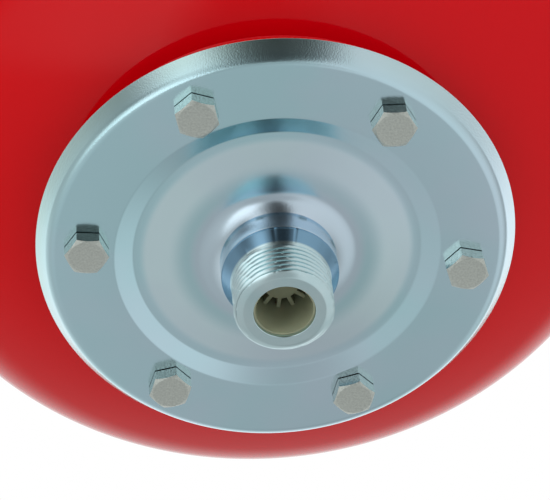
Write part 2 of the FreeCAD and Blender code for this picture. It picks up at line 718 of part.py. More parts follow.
def make_valve_body():
    """Brass valve: shank, hexagon and stem, bored for the core."""
    body = new_piece("valve_body", TOP)
    shank = "(boss_bore / 2 - shank_clearance)"
    stem = "(stem_diameter / 2)"
    air = "(air_bore / 2)"
    core = "(core_bore / 2)"
    foot = "(boss_above + washer_thickness)"
    turned(body, [
        (air, "-boss_below - shank_reach"),
        (shank, "-boss_below - shank_reach"),
        (shank, foot),
        (stem, foot),
        (stem, f"{MOUTH} - stem_chamfer"),
        (f"{stem} - stem_chamfer", MOUTH),
        (core, MOUTH),
        (core, BARREL_FOOT),
        (air, f"{BARREL_FOOT} - seat_cone"),
    ])
    # the hexagon is a ring here, so that the bore through the valve stays open
    def hexagon_round_stem(sketch):
        hexagon_at("0", "valve_flats")(sketch)
        circle_at("0", stem)(sketch)

    upright(body, hexagon_round_stem, foot, "valve_hexagon")


def make_valve_core():
    """Core barrel with the sleeve that the pin's cup closes."""
    body = new_piece("valve_core", TOP)
    outer = "(core_bore / 2 - core_clearance)"
    inner = "(core_inner_bore / 2)"
    sleeve = "(sleeve_diameter / 2)"
    turned(body, [
        (PIN_BORE, SLEEVE_FOOT),
        (sleeve, SLEEVE_FOOT),
        (sleeve, BARREL_FOOT),
        (outer, BARREL_FOOT),
        (outer, CORE_TOP),
        (inner, CORE_TOP),
        (inner, f"{BARREL_FOOT} + core_floor"),
        (PIN_BORE, f"{BARREL_FOOT} + core_floor"),
    ])


def make_core_seal():
    """Sealing ring on the core's sleeve, lying in the valve body's cone."""
    body = new_piece("core_seal", TOP)
    slope = "((core_bore - air_bore) / 2 / seat_cone)"
    low = f"({BARREL_FOOT} - seat_cone)"
    air = "(air_bore / 2)"
    turned(body, [
        ("sleeve_diameter / 2", f"{BARREL_FOOT} - core_seal_height"),
        (f"{air} - core_clearance", f"{BARREL_FOOT} - core_seal_height"),
        (f"{air} - core_clearance", low),
        (f"{air} - core_clearance + {slope} * seat_cone", BARREL_FOOT),
        ("sleeve_diameter / 2", BARREL_FOOT),
    ])


def make_valve_pin():
    """Pin with a cup at its foot and a collar that the spring pushes on."""
    body = new_piece("valve_pin", TOP)
    pin = "(pin_diameter / 2)"
    cup_top = f"({SLEEVE_FOOT} - cup_seal_height)"
    pin_top = f"({MOUTH} - pin_recess)"
    collar_low = f"({CORE_TOP} - collar_height)"
    turned(body, [
        ("0", f"{cup_top} - cup_height"),
        ("cup_diameter / 2", f"{cup_top} - cup_height"),
        ("cup_diameter / 2", cup_top),
        (pin, cup_top),
        (pin, collar_low),
        ("collar_diameter / 2", collar_low),
        ("collar_diameter / 2", CORE_TOP),
        (pin, CORE_TOP),
        (pin, pin_top),
        ("0", pin_top),
    ])


def make_pin_seal():
    """Rubber face on the pin's cup."""
    body = new_piece("pin_seal", TOP)
    turned(body, [
        ("pin_diameter / 2", f"{SLEEVE_FOOT} - cup_seal_height"),
        ("cup_diameter / 2", f"{SLEEVE_FOOT} - cup_seal_height"),
        ("cup_diameter / 2", SLEEVE_FOOT),
        ("pin_diameter / 2", SLEEVE_FOOT),
    ])


def make_valve_spring():
    """Coil spring between the barrel's floor and the pin's collar."""
    body = new_piece("valve_spring", TOP)
    low = f"({BARREL_FOOT} + core_floor + spring_wire / 2)"
    high = f"({CORE_TOP} - collar_height - spring_wire / 2)"
    sketch = sketch_on(body, "XZ_Plane")
    wire = worth("spring_wire / 2")
    centre = FreeCAD.Vector(worth("spring_diameter / 2"), worth(low), 0)
    edge = sketch.addGeometry(Part.Circle(centre, FreeCAD.Vector(0, 0, 1), wire), False)
    bind(sketch, Sketcher.Constraint("Radius", edge, wire), "spring_wire / 2")
    bind(sketch, Sketcher.Constraint("DistanceX", -1, 1, edge, 3, centre.x), "spring_diameter / 2")
    bind(sketch, Sketcher.Constraint("DistanceY", -1, 1, edge, 3, centre.y), low)
    coil = body.newObject("PartDesign::AdditiveHelix", "coil")
    coil.Profile = sketch
    coil.ReferenceAxis = (sketch, ["V_Axis"])
    coil.Mode = "height-turns-angle"
    coil.setExpression("Height", sized(f"{high} - {low}"))
    coil.setExpression("Turns", sized("spring_turns"))
    body.Tip = coil


CAP_BORE = "(stem_diameter / 2 + cap_clearance)"
CAP_OUT = f"({CAP_BORE} + cap_wall)"
CAP_CEILING = f"({MOUTH} + cap_seal_thickness)"
CAP_TOP = f"({CAP_CEILING} + cap_top)"


def make_dust_cap():
    """Cap that screws over the stem, with a grooved grip."""
    body = new_piece("dust_cap", TOP)
    foot = f"({MOUTH} - cap_engagement)"
    turned(body, [
        (CAP_BORE, foot),
        (CAP_OUT, foot),
        (CAP_OUT, f"{CAP_TOP} - stem_chamfer"),
        (f"{CAP_OUT} - stem_chamfer", CAP_TOP),
        ("0", CAP_TOP),
        ("0", CAP_CEILING),
        (CAP_BORE, CAP_CEILING),
    ])
    groove = upright(
        body,
        circle_at(f"{CAP_OUT} + cap_grip_depth", "2 * cap_grip_depth"),
        foot, f"{CAP_TOP} - {foot}", cut=True,
    )
    all_round(body, [groove], "cap_grip_count")


def make_cap_seal():
    """Rubber disc in the dust cap that lies on the stem's mouth."""
    body = new_piece("cap_seal", TOP)
    edge = f"({CAP_BORE} - cap_clearance)"
    turned(body, [
        ("0", MOUTH),
        (edge, MOUTH),
        (edge, CAP_CEILING),
        ("0", CAP_CEILING),
    ])


def make_valve_cover():
    """Moulded cover over the valve, with ribs inside that grip the hexagon's corners."""
    body = new_piece("valve_cover", TOP)
    outer = "(cover_diameter / 2)"
    inner = f"({outer} - cover_wall)"
    grip = "(valve_flats / sqrt(3) + grip_clearance)"
    foot = f"(cover_rest - {crown_drop(outer)})"
    ceiling = f"({CAP_TOP} + cap_engagement + cover_headroom)"
    top = f"({ceiling} + cover_wall)"
    turned(body, [
        (inner, f"{foot} + {crown_drop(outer)} - {crown_drop(inner)}"),
        (outer, foot),
        (outer, f"{top} - cover_round"),
        (f"{outer} - cover_round", top, "cover_round", -1),
        ("0", top),
        ("0", ceiling),
        (f"{outer} - cover_round", ceiling),
        (inner, f"{top} - cover_round", "cover_round - cover_wall", 1),
    ])
    # each rib reaches to the middle of the wall, so that it is one with it
    outline = sketch_on(body, "XZ_Plane")
    draw_outline(outline, [
        (grip, "boss_above + washer_thickness"),
        (f"{outer} - cover_wall / 2", "boss_above + washer_thickness"),
        (f"{outer} - cover_wall / 2", f"{STEM_FOOT} + grip_rib_rise"),
        (grip, f"{STEM_FOOT} + grip_rib_rise"),
    ])
    rib = body.newObject("PartDesign::Pad", "cover_rib")
    rib.Profile = outline
    rib.Midplane = True
    rib.setExpression("Length", sized("grip_rib_width"))
    all_round(body, [rib], "grip_rib_count")


# ---------------------------------------------------------------- rating plate
def make_rating_plate():
    """Blank foil plate stuck round the barrel."""
    body = new_piece("rating_plate")
    low = f"({BARREL_LOW} + label_low)"
    back = f"({OUTER} + label_glue)"
    front = f"({back} + label_thickness)"
    turned(body, [
        (back, low),
        (front, low),
        (front, f"{low} + label_height"),
        (back, f"{low} + label_height"),
    ], angle=f"label_width / {front} * 180 / pi")


make_lower_shell()
make_upper_shell()
make_seam_weld()
make_flange_ring()
make_ring_weld()
make_counter_flange()
make_nozzle()
make_nozzle_weld()
make_nozzle_insert()
make_flange_bolts()
make_membrane()
make_valve_boss()
make_boss_weld()
make_valve_washer()
make_valve_body()
make_valve_core()
make_core_seal()
make_valve_pin()
make_pin_seal()
make_valve_spring()
make_dust_cap()
make_cap_seal()
make_valve_cover()
make_rating_plate()

doc.recompute()

# ---------------------------------------------------------------- check and write
for item in doc.Objects:
    if "Invalid" in item.State or "Error" in item.State:
        raise RuntimeError(f"{item.Label} failed: {item.State}")

os.makedirs("parts", exist_ok=True)
for body in pieces:
    shape = body.Shape
    if shape.isNull() or not shape.isValid():
        raise RuntimeError(f"{body.Label} has no valid shape")
    shape.exportStep(f"parts/{body.Label}.step")
    print(f"{body.Label}: {len(shape.Solids)} solid(s), {shape.Volume:.1f} mm3")
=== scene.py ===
import math

import bmesh
import bpy
import numpy as np
from mathutils import Matrix, Vector


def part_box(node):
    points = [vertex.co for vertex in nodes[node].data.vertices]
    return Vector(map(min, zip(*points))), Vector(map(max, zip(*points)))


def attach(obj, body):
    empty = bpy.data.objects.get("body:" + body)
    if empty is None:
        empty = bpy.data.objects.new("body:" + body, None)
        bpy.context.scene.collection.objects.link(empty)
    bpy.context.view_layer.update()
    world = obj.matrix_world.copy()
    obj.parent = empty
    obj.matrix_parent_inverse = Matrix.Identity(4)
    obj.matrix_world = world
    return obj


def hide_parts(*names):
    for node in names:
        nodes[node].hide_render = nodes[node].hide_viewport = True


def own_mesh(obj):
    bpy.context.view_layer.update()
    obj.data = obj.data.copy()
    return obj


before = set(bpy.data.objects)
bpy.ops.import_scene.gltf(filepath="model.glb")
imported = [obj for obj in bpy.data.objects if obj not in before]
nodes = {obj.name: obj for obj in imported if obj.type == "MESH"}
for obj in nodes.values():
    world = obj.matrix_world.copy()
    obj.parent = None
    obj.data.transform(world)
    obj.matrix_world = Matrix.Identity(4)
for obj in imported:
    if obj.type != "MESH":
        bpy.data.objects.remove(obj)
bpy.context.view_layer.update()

mm = 0.001
FULL = 2 * math.pi

# ------------------------------------------------------------ pressed shell
# Two deep-drawn halves of 1.2 mm steel sheet, each a dished head with a straight skirt.
# The lower half is necked in, so that the upper one slides over it and hides the lap.
# Both are blasted after welding and powder-coated red in one go.
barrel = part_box("upper_shell")[1].x
sheet_wall = 1.2 * mm
crown = 253 * mm
knuckle = 47.6 * mm
lap_gap = 0.1 * mm
lap_length = 10 * mm
seam_toe = 1.5 * mm
seam_groove = 3 * mm
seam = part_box("seam_weld")[0].z + seam_toe
ring_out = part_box("flange_ring")[1].x
ring_gap = 0.1 * mm
boss_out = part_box("valve_boss")[1].x
boss_gap = 0.1 * mm


def crown_drop(radius):
    """How far a head's outer surface lies behind its pole: the crown circle's versine."""
    return crown - np.sqrt(crown**2 - radius**2)


bottom_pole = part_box("lower_shell")[0].z - crown_drop(ring_out + ring_gap)
top_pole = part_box("upper_shell")[1].z + crown_drop(boss_out + boss_gap)


def head_line(start, inset):
    """Radii and drops down a head, from radius start to the barrel.

    The crown's circle is centred on the axis. The knuckle's circle touches both it and
    the barrel, so they meet where the sine of the tilt is their centres' offset over
    their distance. The line runs inset inside the outer surface."""
    span = crown - knuckle
    meeting = math.asin((barrel - knuckle) / span)
    on_crown = np.linspace(math.asin(start / (crown - inset)), meeting, 40)
    on_knuckle = np.linspace(meeting, math.pi / 2, 40)[1:]
    radius = np.r_[
        (crown - inset) * np.sin(on_crown),
        span * math.sin(meeting) + (knuckle - inset) * np.sin(on_knuckle),
    ]
    height = np.r_[
        (crown - inset) * np.cos(on_crown),
        span * math.cos(meeting) + (knuckle - inset) * np.cos(on_knuckle),
    ]
    return radius, crown - height


def put_in_scene(name, data):
    """Object that shows this mesh, lamp or camera."""
    new = bpy.data.objects.new(name, data)
    bpy.context.scene.collection.objects.link(new)
    return new


def shade_smooth(mesh, crease):
    """Shade a mesh smooth, but keep edges crisp that turn by more than crease degrees."""
    mesh.polygons.foreach_set("use_smooth", np.ones(len(mesh.polygons), bool))
    mesh.set_sharp_from_angle(angle=math.radians(crease))


def skin(name, grid, rows_close=True, crease=30):
    """Mesh through a grid of points, quads between neighbours.

    The last column joins the first, and the last row too where rows_close is set.
    Rows that shrink to one point become a pole."""
    rows, columns = grid.shape[:2]
    index = np.arange(rows * columns).reshape(rows, columns)
    index = np.hstack([index, index[:, :1]])
    if rows_close:
        index = np.vstack([index, index[:1]])
    quads = np.stack([index[:-1, :-1], index[:-1, 1:], index[1:, 1:], index[1:, :-1]], -1)
    quads = quads.reshape(-1, 4)
    mesh = bpy.data.meshes.new(name)
    mesh.vertices.add(rows * columns)
    mesh.vertices.foreach_set("co", grid.reshape(-1).astype(np.float32))
    mesh.loops.add(quads.size)
    mesh.loops.foreach_set("vertex_index", quads.reshape(-1))
    mesh.polygons.add(len(quads))
    mesh.polygons.foreach_set("loop_start", np.arange(0, quads.size, 4))
    mesh.update(calc_edges=True)
    shape = bmesh.new()
    shape.from_mesh(mesh)
    bmesh.ops.remove_doubles(shape, verts=shape.verts, dist=1e-7)
    bmesh.ops.recalc_face_normals(shape, faces=shape.faces)
    shape.to_mesh(mesh)
    shape.free()
    shade_smooth(mesh, crease)
    return put_in_scene(name, mesh)


def turned(name, radius, height, columns, crease=30):
    """Turned piece: (radius cos a, radius sin a, height), with a going all round. Radius
    and height have one number for each row, or one for each row and column."""
    angle = np.arange(columns) * FULL / columns
    shape = (len(height), columns)
    radius = np.broadcast_to(radius.reshape(len(height), -1), shape)
    height = np.broadcast_to(height.reshape(len(height), -1), shape)
    grid = np.stack([radius * np.cos(angle), radius * np.sin(angle), height], -1)
    return skin(name, grid, crease=crease)


def linear(colour):
    """Linear colour of an sRGB hex value."""
    part = np.array([int(colour[i:i + 2], 16) for i in (0, 2, 4)]) / 255
    part = np.where(part <= 0.04045, part / 12.92, ((part + 0.055) / 1.055) ** 2.4)
    return (*part.tolist(), 1.0)


def add(tree, kind, values={}, links={}, **settings):
    """Add a shader node: settings are its own, values fill its sockets, links feed them."""
    new = tree.nodes.new("ShaderNode" + kind)
    for key, value in settings.items():
        setattr(new, key, value)
    for key, value in values.items():
        new.inputs[key].default_value = value
    for key, output in links.items():
        tree.links.new(output, new.inputs[key])
    return new


def new_material(name):
    """Empty material, its tree and the place on the object that its patterns read."""
    material = bpy.data.materials.new(name)
    material.use_nodes = True
    tree = material.node_tree
    tree.nodes.clear()
    return material, tree, add(tree, "TexCoord").outputs["Object"]


# Polyester powder coat on steel: a deep red under a smooth clear gloss that mirrors the
# flange's edge, with the faint orange peel and the few dust nibs of a sprayed coat.
powder_coat, tree, place = new_material("red_polyester_powder_coat")
cloud = add(tree, "TexNoise", {"Scale": 1 / (111 * mm), "Detail": 2.0}, {"Vector": place})
tone = add(
    tree, "Mix", {6: linear("BE0004"), 7: linear("B6000E")},
    {0: cloud.outputs["Fac"]}, data_type="RGBA",
)
nib_cells = add(tree, "TexVoronoi", {"Scale": 1 / (9 * mm)}, {"Vector": place})
nib_size = add(
    tree, "MapRange", {"From Min": 0.02, "From Max": 0.035, "To Min": 1.0, "To Max": 0.0},
    {"Value": nib_cells.outputs["Distance"]},
)
nib_rare = add(
    tree, "MapRange", {"From Min": 0.9, "From Max": 0.92},
    {"Value": nib_cells.outputs["Color"]},
)
nib = add(
    tree, "Math", {}, {0: nib_size.outputs[0], 1: nib_rare.outputs[0]},
    operation="MULTIPLY",
)
speckled = add(
    tree, "Mix", {7: linear("E8686C")},
    {0: nib.outputs[0], 6: tone.outputs[2]}, data_type="RGBA",
)
peel = add(tree, "TexNoise", {"Scale": 1 / (3 * mm), "Detail": 1.0}, {"Vector": place})
peel_bump = add(
    tree, "Bump", {"Strength": 0.5, "Distance": 0.01 * mm}, {"Height": peel.outputs["Fac"]},
)
coat = add(
    tree, "BsdfPrincipled", {"Roughness": 0.07, "IOR": 1.5, "Specular IOR Level": 0.2},
    {"Base Color": speckled.outputs[2], "Normal": peel_bump.outputs[0]},
)
add(tree, "OutputMaterial", {}, {"Surface": coat.outputs[0]})


def dress(piece, body, material, slot, *replaced):
    """Give a piece its material and its body, and hide the CAD nodes it stands for; the
    slot is not used.
    """
    piece.data.materials.clear()
    piece.data.materials.append(material)
    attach(piece, body)
    if replaced:
        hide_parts(*replaced)
    return piece


outer_radius, outer_drop = head_line(ring_out + ring_gap, 0)
inner_radius, inner_drop = head_line(ring_out + ring_gap, sheet_wall)
lap = barrel - sheet_wall - lap_gap
bend = sheet_wall + lap_gap
radius = np.r_[
    outer_radius, barrel, lap, lap, lap - sheet_wall, lap - sheet_wall,
    barrel - sheet_wall, inner_radius[::-1],
]
height = np.r_[
    bottom_pole + outer_drop, seam, seam + bend, seam + seam_groove + lap_length,
    seam + seam_groove + lap_length, seam + bend, seam, (bottom_pole + inner_drop)[::-1],
]
lower_half = turned("lower_half", radius, height, 360)
dress(lower_half, "vessel", powder_coat, "red_coating", "lower_shell")

outer_radius, outer_drop = head_line(boss_out + boss_gap, 0)
inner_radius, inner_drop = head_line(boss_out + boss_gap, sheet_wall)
edge = seam + seam_groove
radius = np.r_[outer_radius, barrel, barrel - sheet_wall, inner_radius[::-1]]
height = np.r_[top_pole - outer_drop, edge, edge, (top_pole - inner_drop)[::-1]]
upper_half = turned("upper_half", radius, height, 360)
dress(upper_half, "vessel", powder_coat, "red_coating", "upper_shell")

# ------------------------------------------------------------ seam weld
# One pass of wire-fed weld that closes the two halves, under the same coat. The bead is
# low and even, laid while the vessel turned, and shows one ripple for each drop of wire.
seam_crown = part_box("seam_weld")[1].x - barrel
ripple_pitch = 2.6 * mm
ripple_height = 0.2 * mm


def ripples(along, across, pitch):
    """Height of weld ripples, from 0 to 1: saw teeth along the bead, softened by a power,
    whose crests trail behind towards the bead's edges as a parabola."""
    phase = (along / pitch - 0.45 * across**2) % 1
    return phase**1.5 * (1 - across**2)


columns = 2400
along = np.arange(columns) * FULL * barrel / columns
across = np.linspace(-1, 1, 13)[:, None]
bead_half = seam_toe + seam_groove / 2
ripple = ripples(along, across, ripple_pitch) * ripple_height
radius = barrel + (seam_crown - ripple_height) * (1 - across**2) + ripple
height = np.repeat(seam + seam_groove / 2 + bead_half * across, columns, 1)
root = np.array([[barrel, 1.0], [lap, 1.0], [lap, -1.0], [barrel, -1.0]])
radius = np.vstack([radius, np.repeat(root[:, :1], columns, 1)])
root_height = seam + np.array([seam_groove, seam_groove, bend, 0.0])[:, None]
height = np.vstack([height, np.repeat(root_height, columns, 1)])
seam_bead = turned("seam_bead", radius, height, columns)
dress(seam_bead, "vessel", powder_coat, "red_coating", "seam_weld")

# ------------------------------------------------------------ flange ring and its weld
# A thick ring cut from plate and turned, set in the lower head's opening and welded all
# round outside. Six blind holes are tapped in its face for the bolts.
dress(nodes["flange_ring"], "vessel", powder_coat, "red_coating")
ring_edge = 0.3 * mm
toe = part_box("ring_weld")[1].x


def fillet_bead(name, inner, outer, inner_height, outer_height, bulge, pitch, columns):
    """Fillet weld round a ring: an arched face from the ring's wall to the sheet, rippled
    along its length, with its two legs behind it."""
    along = np.arange(columns) * FULL * outer / columns
    across = np.linspace(-1, 1, 11)[:, None]
    share = (across + 1) / 2
    run = np.array([outer - inner, outer_height - inner_height])
    face = np.array([run[1], -run[0]]) / np.hypot(*run)
    lift = bulge * (1 - across**2) + ripples(along, across, pitch) * bulge * 0.5
    radius = inner + run[0] * share + face[0] * lift
    height = inner_height + run[1] * share + face[1] * lift
    root = np.full((1, columns), inner)
    radius = np.vstack([radius, root])
    height = np.vstack([height, np.full((1, columns), outer_height)])
    return turned(name, radius, height, columns)


ring_bead = fillet_bead(
    "ring_bead", ring_out, toe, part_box("ring_weld")[0].z + ring_edge,
    bottom_pole + crown_drop(toe), bulge=0.3 * mm, pitch=2.2 * mm, columns=1600,
)
dress(ring_bead, "vessel", powder_coat, "red_coating", "ring_weld")

# ------------------------------------------------------------ counterflange
# One pressing of 2.5 mm sheet, zinc-plated and blue-passivated: a turned back rim, a flat
# for the bolts, a shallow step, a cone and a land, and a neck drawn out for the nozzle.
plate_low, plate_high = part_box("counter_flange")
plate_wall = 2.5 * mm
rim_depth = 6.5 * mm
rim_round = 4.3 * mm
rim_tilt = math.radians(55)
step_depth = 1.8 * mm
step_width = 6.3 * mm
floor_width = 3.8 * mm
cone_width = 9.3 * mm
cone_rise = 1.3 * mm
neck_fillet = 10.7 * mm
neck_sweep = math.radians(43)
neck_out = 19.7 * mm
ring_width = 25 * mm
step_margin = 2.7 * mm
bolt_inset = 6.75 * mm
ring_in = ring_out - ring_width
rim = plate_high.x
rim_end = plate_high.z
neck_edge = plate_low.z
flat = rim_end - rim_depth
floor_out = ring_in + step_margin
cone_out = floor_out - floor_width
cone_in = cone_out - cone_width
flat_in = floor_out + step_width
floor = flat + step_depth
land = floor - cone_rise
neck_foot = neck_out + neck_fillet * math.sin(neck_sweep)
neck_knee = land - neck_fillet * (1 - math.cos(neck_sweep))
neck_in = neck_out - plate_wall
fillet_back = neck_fillet + plate_wall
knee_back = land - neck_fillet + math.sqrt(fillet_back**2 - (neck_foot - neck_in) ** 2)
step_tilt = math.atan(step_depth / step_width)
crease_run = 0.45 * mm
crease_bend = crease_run / math.tan(step_tilt / 2)
crease_in = crease_run * math.cos(step_tilt)
crease_drop = crease_run * math.sin(step_tilt)
bend_rise = rim_round * (1 - math.cos(rim_tilt))
bend_out = rim - (rim_depth - bend_rise) / math.tan(rim_tilt)
flat_out = bend_out - rim_round * math.sin(rim_tilt)
bend_back = rim_round - plate_wall
edge_break = 0.25 * mm
hole_radius = 4.5 * mm
bolt_circle = ring_out - bolt_inset


def outline(corners, fineness=3):
    """Radii and heights along a closed line of straight and round stretches.

    A corner is (radius, height), or (radius, height, bend, side) where an arc of that
    bend leads to it, bulging left for side 1 and right for -1. The arc's centre lies on
    the chord's bisector, as far off as Pythagoras gives, and it is cut every few degrees
    of its turn."""
    line = []
    for start, end in zip([corners[-1], *corners[:-1]], corners):
        a, b = np.array(start[:2]), np.array(end[:2])
        if len(end) == 2:
            line.append(b[None])
            continue
        bend, side = end[2:]
        run = b - a
        half = np.hypot(*run) / 2
        left = np.array([-run[1], run[0]]) / (2 * half)
        centre = (a + b) / 2 - left * side * math.sqrt(max(bend**2 - half**2, 0))
        first = math.atan2(a[1] - centre[1], a[0] - centre[0])
        last = math.atan2(b[1] - centre[1], b[0] - centre[0])
        sweep = (last - first + math.pi) % FULL - math.pi
        cuts = max(3, round(abs(math.degrees(sweep)) / fineness))
        turn = first + sweep * np.linspace(0, 1, cuts + 1)[1:, None]
        line.append(centre + bend * np.hstack([np.cos(turn), np.sin(turn)]))
    line = np.concatenate(line)
    return line[:, 0], line[:, 1]


pressing = turned("counterflange_pressing", *outline([
    (neck_out - edge_break, neck_edge),
    (neck_out, neck_edge + edge_break, edge_break, -1),
    (neck_out, neck_knee),
    (neck_foot, land, neck_fillet, 1),
    (cone_in, land),
    (cone_out, floor),
    (floor_out - crease_run, floor),
    (floor_out + crease_in, floor - crease_drop, crease_bend, 1),
    (flat_in - crease_in, flat + crease_drop),
    (flat_in + crease_run, flat, crease_bend, -1),
    (flat_out, flat),
    (bend_out, flat + bend_rise, rim_round, -1),
    (rim - edge_break * math.cos(rim_tilt), rim_end - edge_break * math.sin(rim_tilt)),
    (rim - edge_break, rim_end, edge_break / math.tan((math.pi - rim_tilt) / 2), -1),
    (rim - plate_wall / math.sin(rim_tilt), rim_end),
    (
        flat_out + bend_back * math.sin(rim_tilt),
        flat + rim_round - bend_back * math.cos(rim_tilt),
    ),
    (flat_out, flat + plate_wall, bend_back, 1),
    (flat_in, flat + plate_wall),
    (floor_out, floor + plate_wall),
    (cone_out, floor + plate_wall),
    (cone_in, land + plate_wall),
    (neck_foot, land + plate_wall),
    (neck_in, knee_back, fillet_back, -1),
    (neck_in, neck_edge),
], 2), 360, crease=9)


def drilled(piece, radius, low, high, ring, count, crease):
    """Cut round holes of that radius through a piece, evenly round a ring."""
    cutter = bpy.data.meshes.new("drill")
    drill = bmesh.new()
    for number in range(count):
        angle = FULL * number / count
        hole = bmesh.ops.create_cone(
            drill, cap_ends=True, segments=48, radius1=radius, radius2=radius,
            depth=high - low,
        )
        bmesh.ops.translate(
            drill, verts=hole["verts"],
            vec=(ring * math.cos(angle), ring * math.sin(angle), (low + high) / 2),
        )
    drill.to_mesh(cutter)
    drill.free()
    tool = put_in_scene("drill", cutter)
    cut = piece.modifiers.new("holes", "BOOLEAN")
    cut.operation = "DIFFERENCE"
    cut.object = tool
    cut.solver = "EXACT"
    graph = bpy.context.evaluated_depsgraph_get()
    mesh = bpy.data.meshes.new_from_object(piece.evaluated_get(graph))
    piece.modifiers.clear()
    piece.data = mesh
    bpy.data.objects.remove(tool)
    shade_smooth(mesh, crease)


drilled(pressing, hole_radius, flat - mm, flat + plate_wall + mm, bolt_circle, 6, 9)


def off_centre(tree, place):
    """Distance from the vessel's axis: the length of a place with its height left out."""
    level = add(tree, "VectorMath", {1: (1, 1, 0)}, {0: place}, operation="MULTIPLY")
    return add(
        tree, "VectorMath", {}, {0: level.outputs[0]}, operation="LENGTH",
    ).outputs["Value"]


# Bright zinc with a clear blue passivate: a half mirror, blue-green with lilac clouds.
# The film is palest on the cone and duller on the land and the rim, as the sheet was
# drawn there, and the zinc is grainy where rim and neck were stretched.
zinc, tree, place = new_material("blue_passivated_zinc")
film = add(
    tree, "TexNoise", {"Scale": 1 / (55 * mm), "Detail": 3.0, "Roughness": 0.45},
    {"Vector": place},
)
off_axis = off_centre(tree, place)
drawn = add(tree, "MapRange", {"From Max": rim}, {"Value": off_axis})
# the film's tint by the distance from the axis, out to the rim
drawn = add(tree, "ValToRGB", {}, {"Fac": drawn.outputs[0]})
drawn.color_ramp.interpolation = "EASE"
drawn.color_ramp.elements[0].color = linear("DCE6EE")
drawn.color_ramp.elements[1].color = linear("BEDCDA")
for reach, tint in (
    (neck_foot, "CCE2EE"), (cone_in - 5 * mm, "BEE2EA"), (cone_in + 2 * mm, "DEF8FE"),
    (cone_out - mm, "DEF8FE"), (cone_out + 2 * mm, "C4EBF4"), (flat_out, "C4EBF4"),
):
    drawn.color_ramp.elements.new(reach / rim).color = linear(tint)
tints = add(
    tree, "MapRange", {"From Min": 0.42, "From Max": 0.7, "To Max": 0.6},
    {"Value": film.outputs["Fac"]},
)
tints = add(
    tree, "Mix", {7: linear("D8E8F8")},
    {0: tints.outputs[0], 6: drawn.outputs["Color"]}, data_type="RGBA",
)
stretched = add(
    tree, "MapRange",
    {"From Min": flat_out, "From Max": flat_out + 1.5 * mm}, {"Value": off_axis},
)
drawn_neck = add(
    tree, "MapRange", {"From Min": neck_foot, "From Max": neck_out + mm, "To Max": 0.7},
    {"Value": off_axis},
)
stretched = add(
    tree, "Math", {}, {0: stretched.outputs[0], 1: drawn_neck.outputs[0]}, operation="ADD",
)
grain = add(tree, "TexNoise", {"Scale": 1 / (0.55 * mm), "Detail": 2.0}, {"Vector": place})
grain_depth = add(
    tree, "Math", {}, {0: grain.outputs["Fac"], 1: stretched.outputs[0]},
    operation="MULTIPLY",
)
grain_bump = add(
    tree, "Bump", {"Strength": 0.8, "Distance": 0.05 * mm},
    {"Height": grain_depth.outputs[0]},
)
haze = add(tree, "TexNoise", {"Scale": 1 / (12 * mm), "Detail": 4.0}, {"Vector": place})
haze_depth = add(
    tree, "MapRange", {"To Min": 0.13, "To Max": 0.23}, {"Value": haze.outputs["Fac"]},
)
metal = add(
    tree, "BsdfPrincipled", {"Metallic": 1.0},
    {
        "Base Color": tints.outputs[2], "Roughness": haze_depth.outputs[0],
        "Normal": grain_bump.outputs[0],
    },
)
add(tree, "OutputMaterial", {}, {"Surface": metal.outputs[0]})
dress(pressing, "vessel", zinc, "zinc_pressing", "counter_flange")

# ------------------------------------------------------------ nozzle
# Turned from steel bar: a 1 inch parallel pipe thread of 11 turns to the inch, a shallow
# bevel round its end, and a flared shoulder whose spigot is welded inside the drawn neck.
nozzle_low, nozzle_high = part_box("threaded_nozzle")
crest = 33.249 / 2 * mm
pitch = 2.309 * mm
depth = 1.479 * mm
thread_length = 15.1 * mm
bore = 10.2 * mm
tip_face = 13.7 * mm
tip = nozzle_low.z
spigot_end = nozzle_high.z
spigot = neck_in - 0.1 * mm
collar_land = 0.6 * mm
thread_wear = 0.22 * mm
shoulder_dents = 0.25 * mm
dent_reach = 0.5 * mm
flare_rise = neck_edge - collar_land


def thread_groove(height, angle, pitch):
    """Share of the thread's depth that is cut away, for a right-hand helix: the distance
    from the nearest crest in half turns, clipped to a flat crest and a flat root, and
    mixed with a smooth step so that the flanks ease into both."""
    crest_flat, flank, easing = 0.12, 0.74, 0.3
    turn = (height / pitch - angle / FULL) % 1
    slope = np.clip((np.abs(turn - 0.5) * 2 - crest_flat) / flank, 0, 1)
    return (1 - easing) * slope + easing * slope**2 * (3 - 2 * slope)


def knocks(angle, seed, count):
    """Small dents round an edge, from 0 to 1: a sum of narrow bells at seeded places."""
    random = np.random.default_rng(seed)
    middle = random.uniform(0, FULL, count)[:, None]
    width = random.uniform(0.01, 0.05, count)[:, None]
    size = random.uniform(0.2, 1, count)[:, None]
    off = (angle - middle + math.pi) % FULL - math.pi
    return np.minimum((size * np.exp(-((off / width) ** 2))).sum(0), 1)


radius, height = outline([
    (bore, tip + edge_break),
    (bore + edge_break, tip, edge_break, -1),
    (tip_face - edge_break, tip),
    (tip_face, tip),
    (crest, -thread_length),
    (crest, 0.0),
    (neck_out - edge_break, flare_rise - edge_break),
    (neck_out, flare_rise, edge_break, -1),
    (neck_out, neck_edge - edge_break),
    (neck_out - edge_break, neck_edge, edge_break, -1),
    (spigot, neck_edge),
    (spigot, spigot_end),
    (bore, spigot_end),
])
# the thread and the bevel get rows close enough to carry the helix
start = int(np.argmin(np.hypot(radius - tip_face, height - tip)))
end = int(np.argmin(np.hypot(radius - crest, height)))
fine = np.linspace(tip, 0, 130)
fine_radius = np.interp(fine, [tip, -thread_length, 0], [tip_face, crest, crest])
radius = np.r_[radius[:start], fine_radius, radius[end + 1:]]
height = np.r_[height[:start], fine, height[end + 1:]]
columns = 256
angle = np.arange(columns) * FULL / columns
runout = np.clip(-height / (0.8 * pitch), 0, 1)[:, None]
on_thread = ((height < 0) & (radius >= tip_face - 1e-9))[:, None]
cut = depth * runout * thread_groove(height[:, None], angle[None], pitch)
radius = radius[:, None] * np.ones(columns)
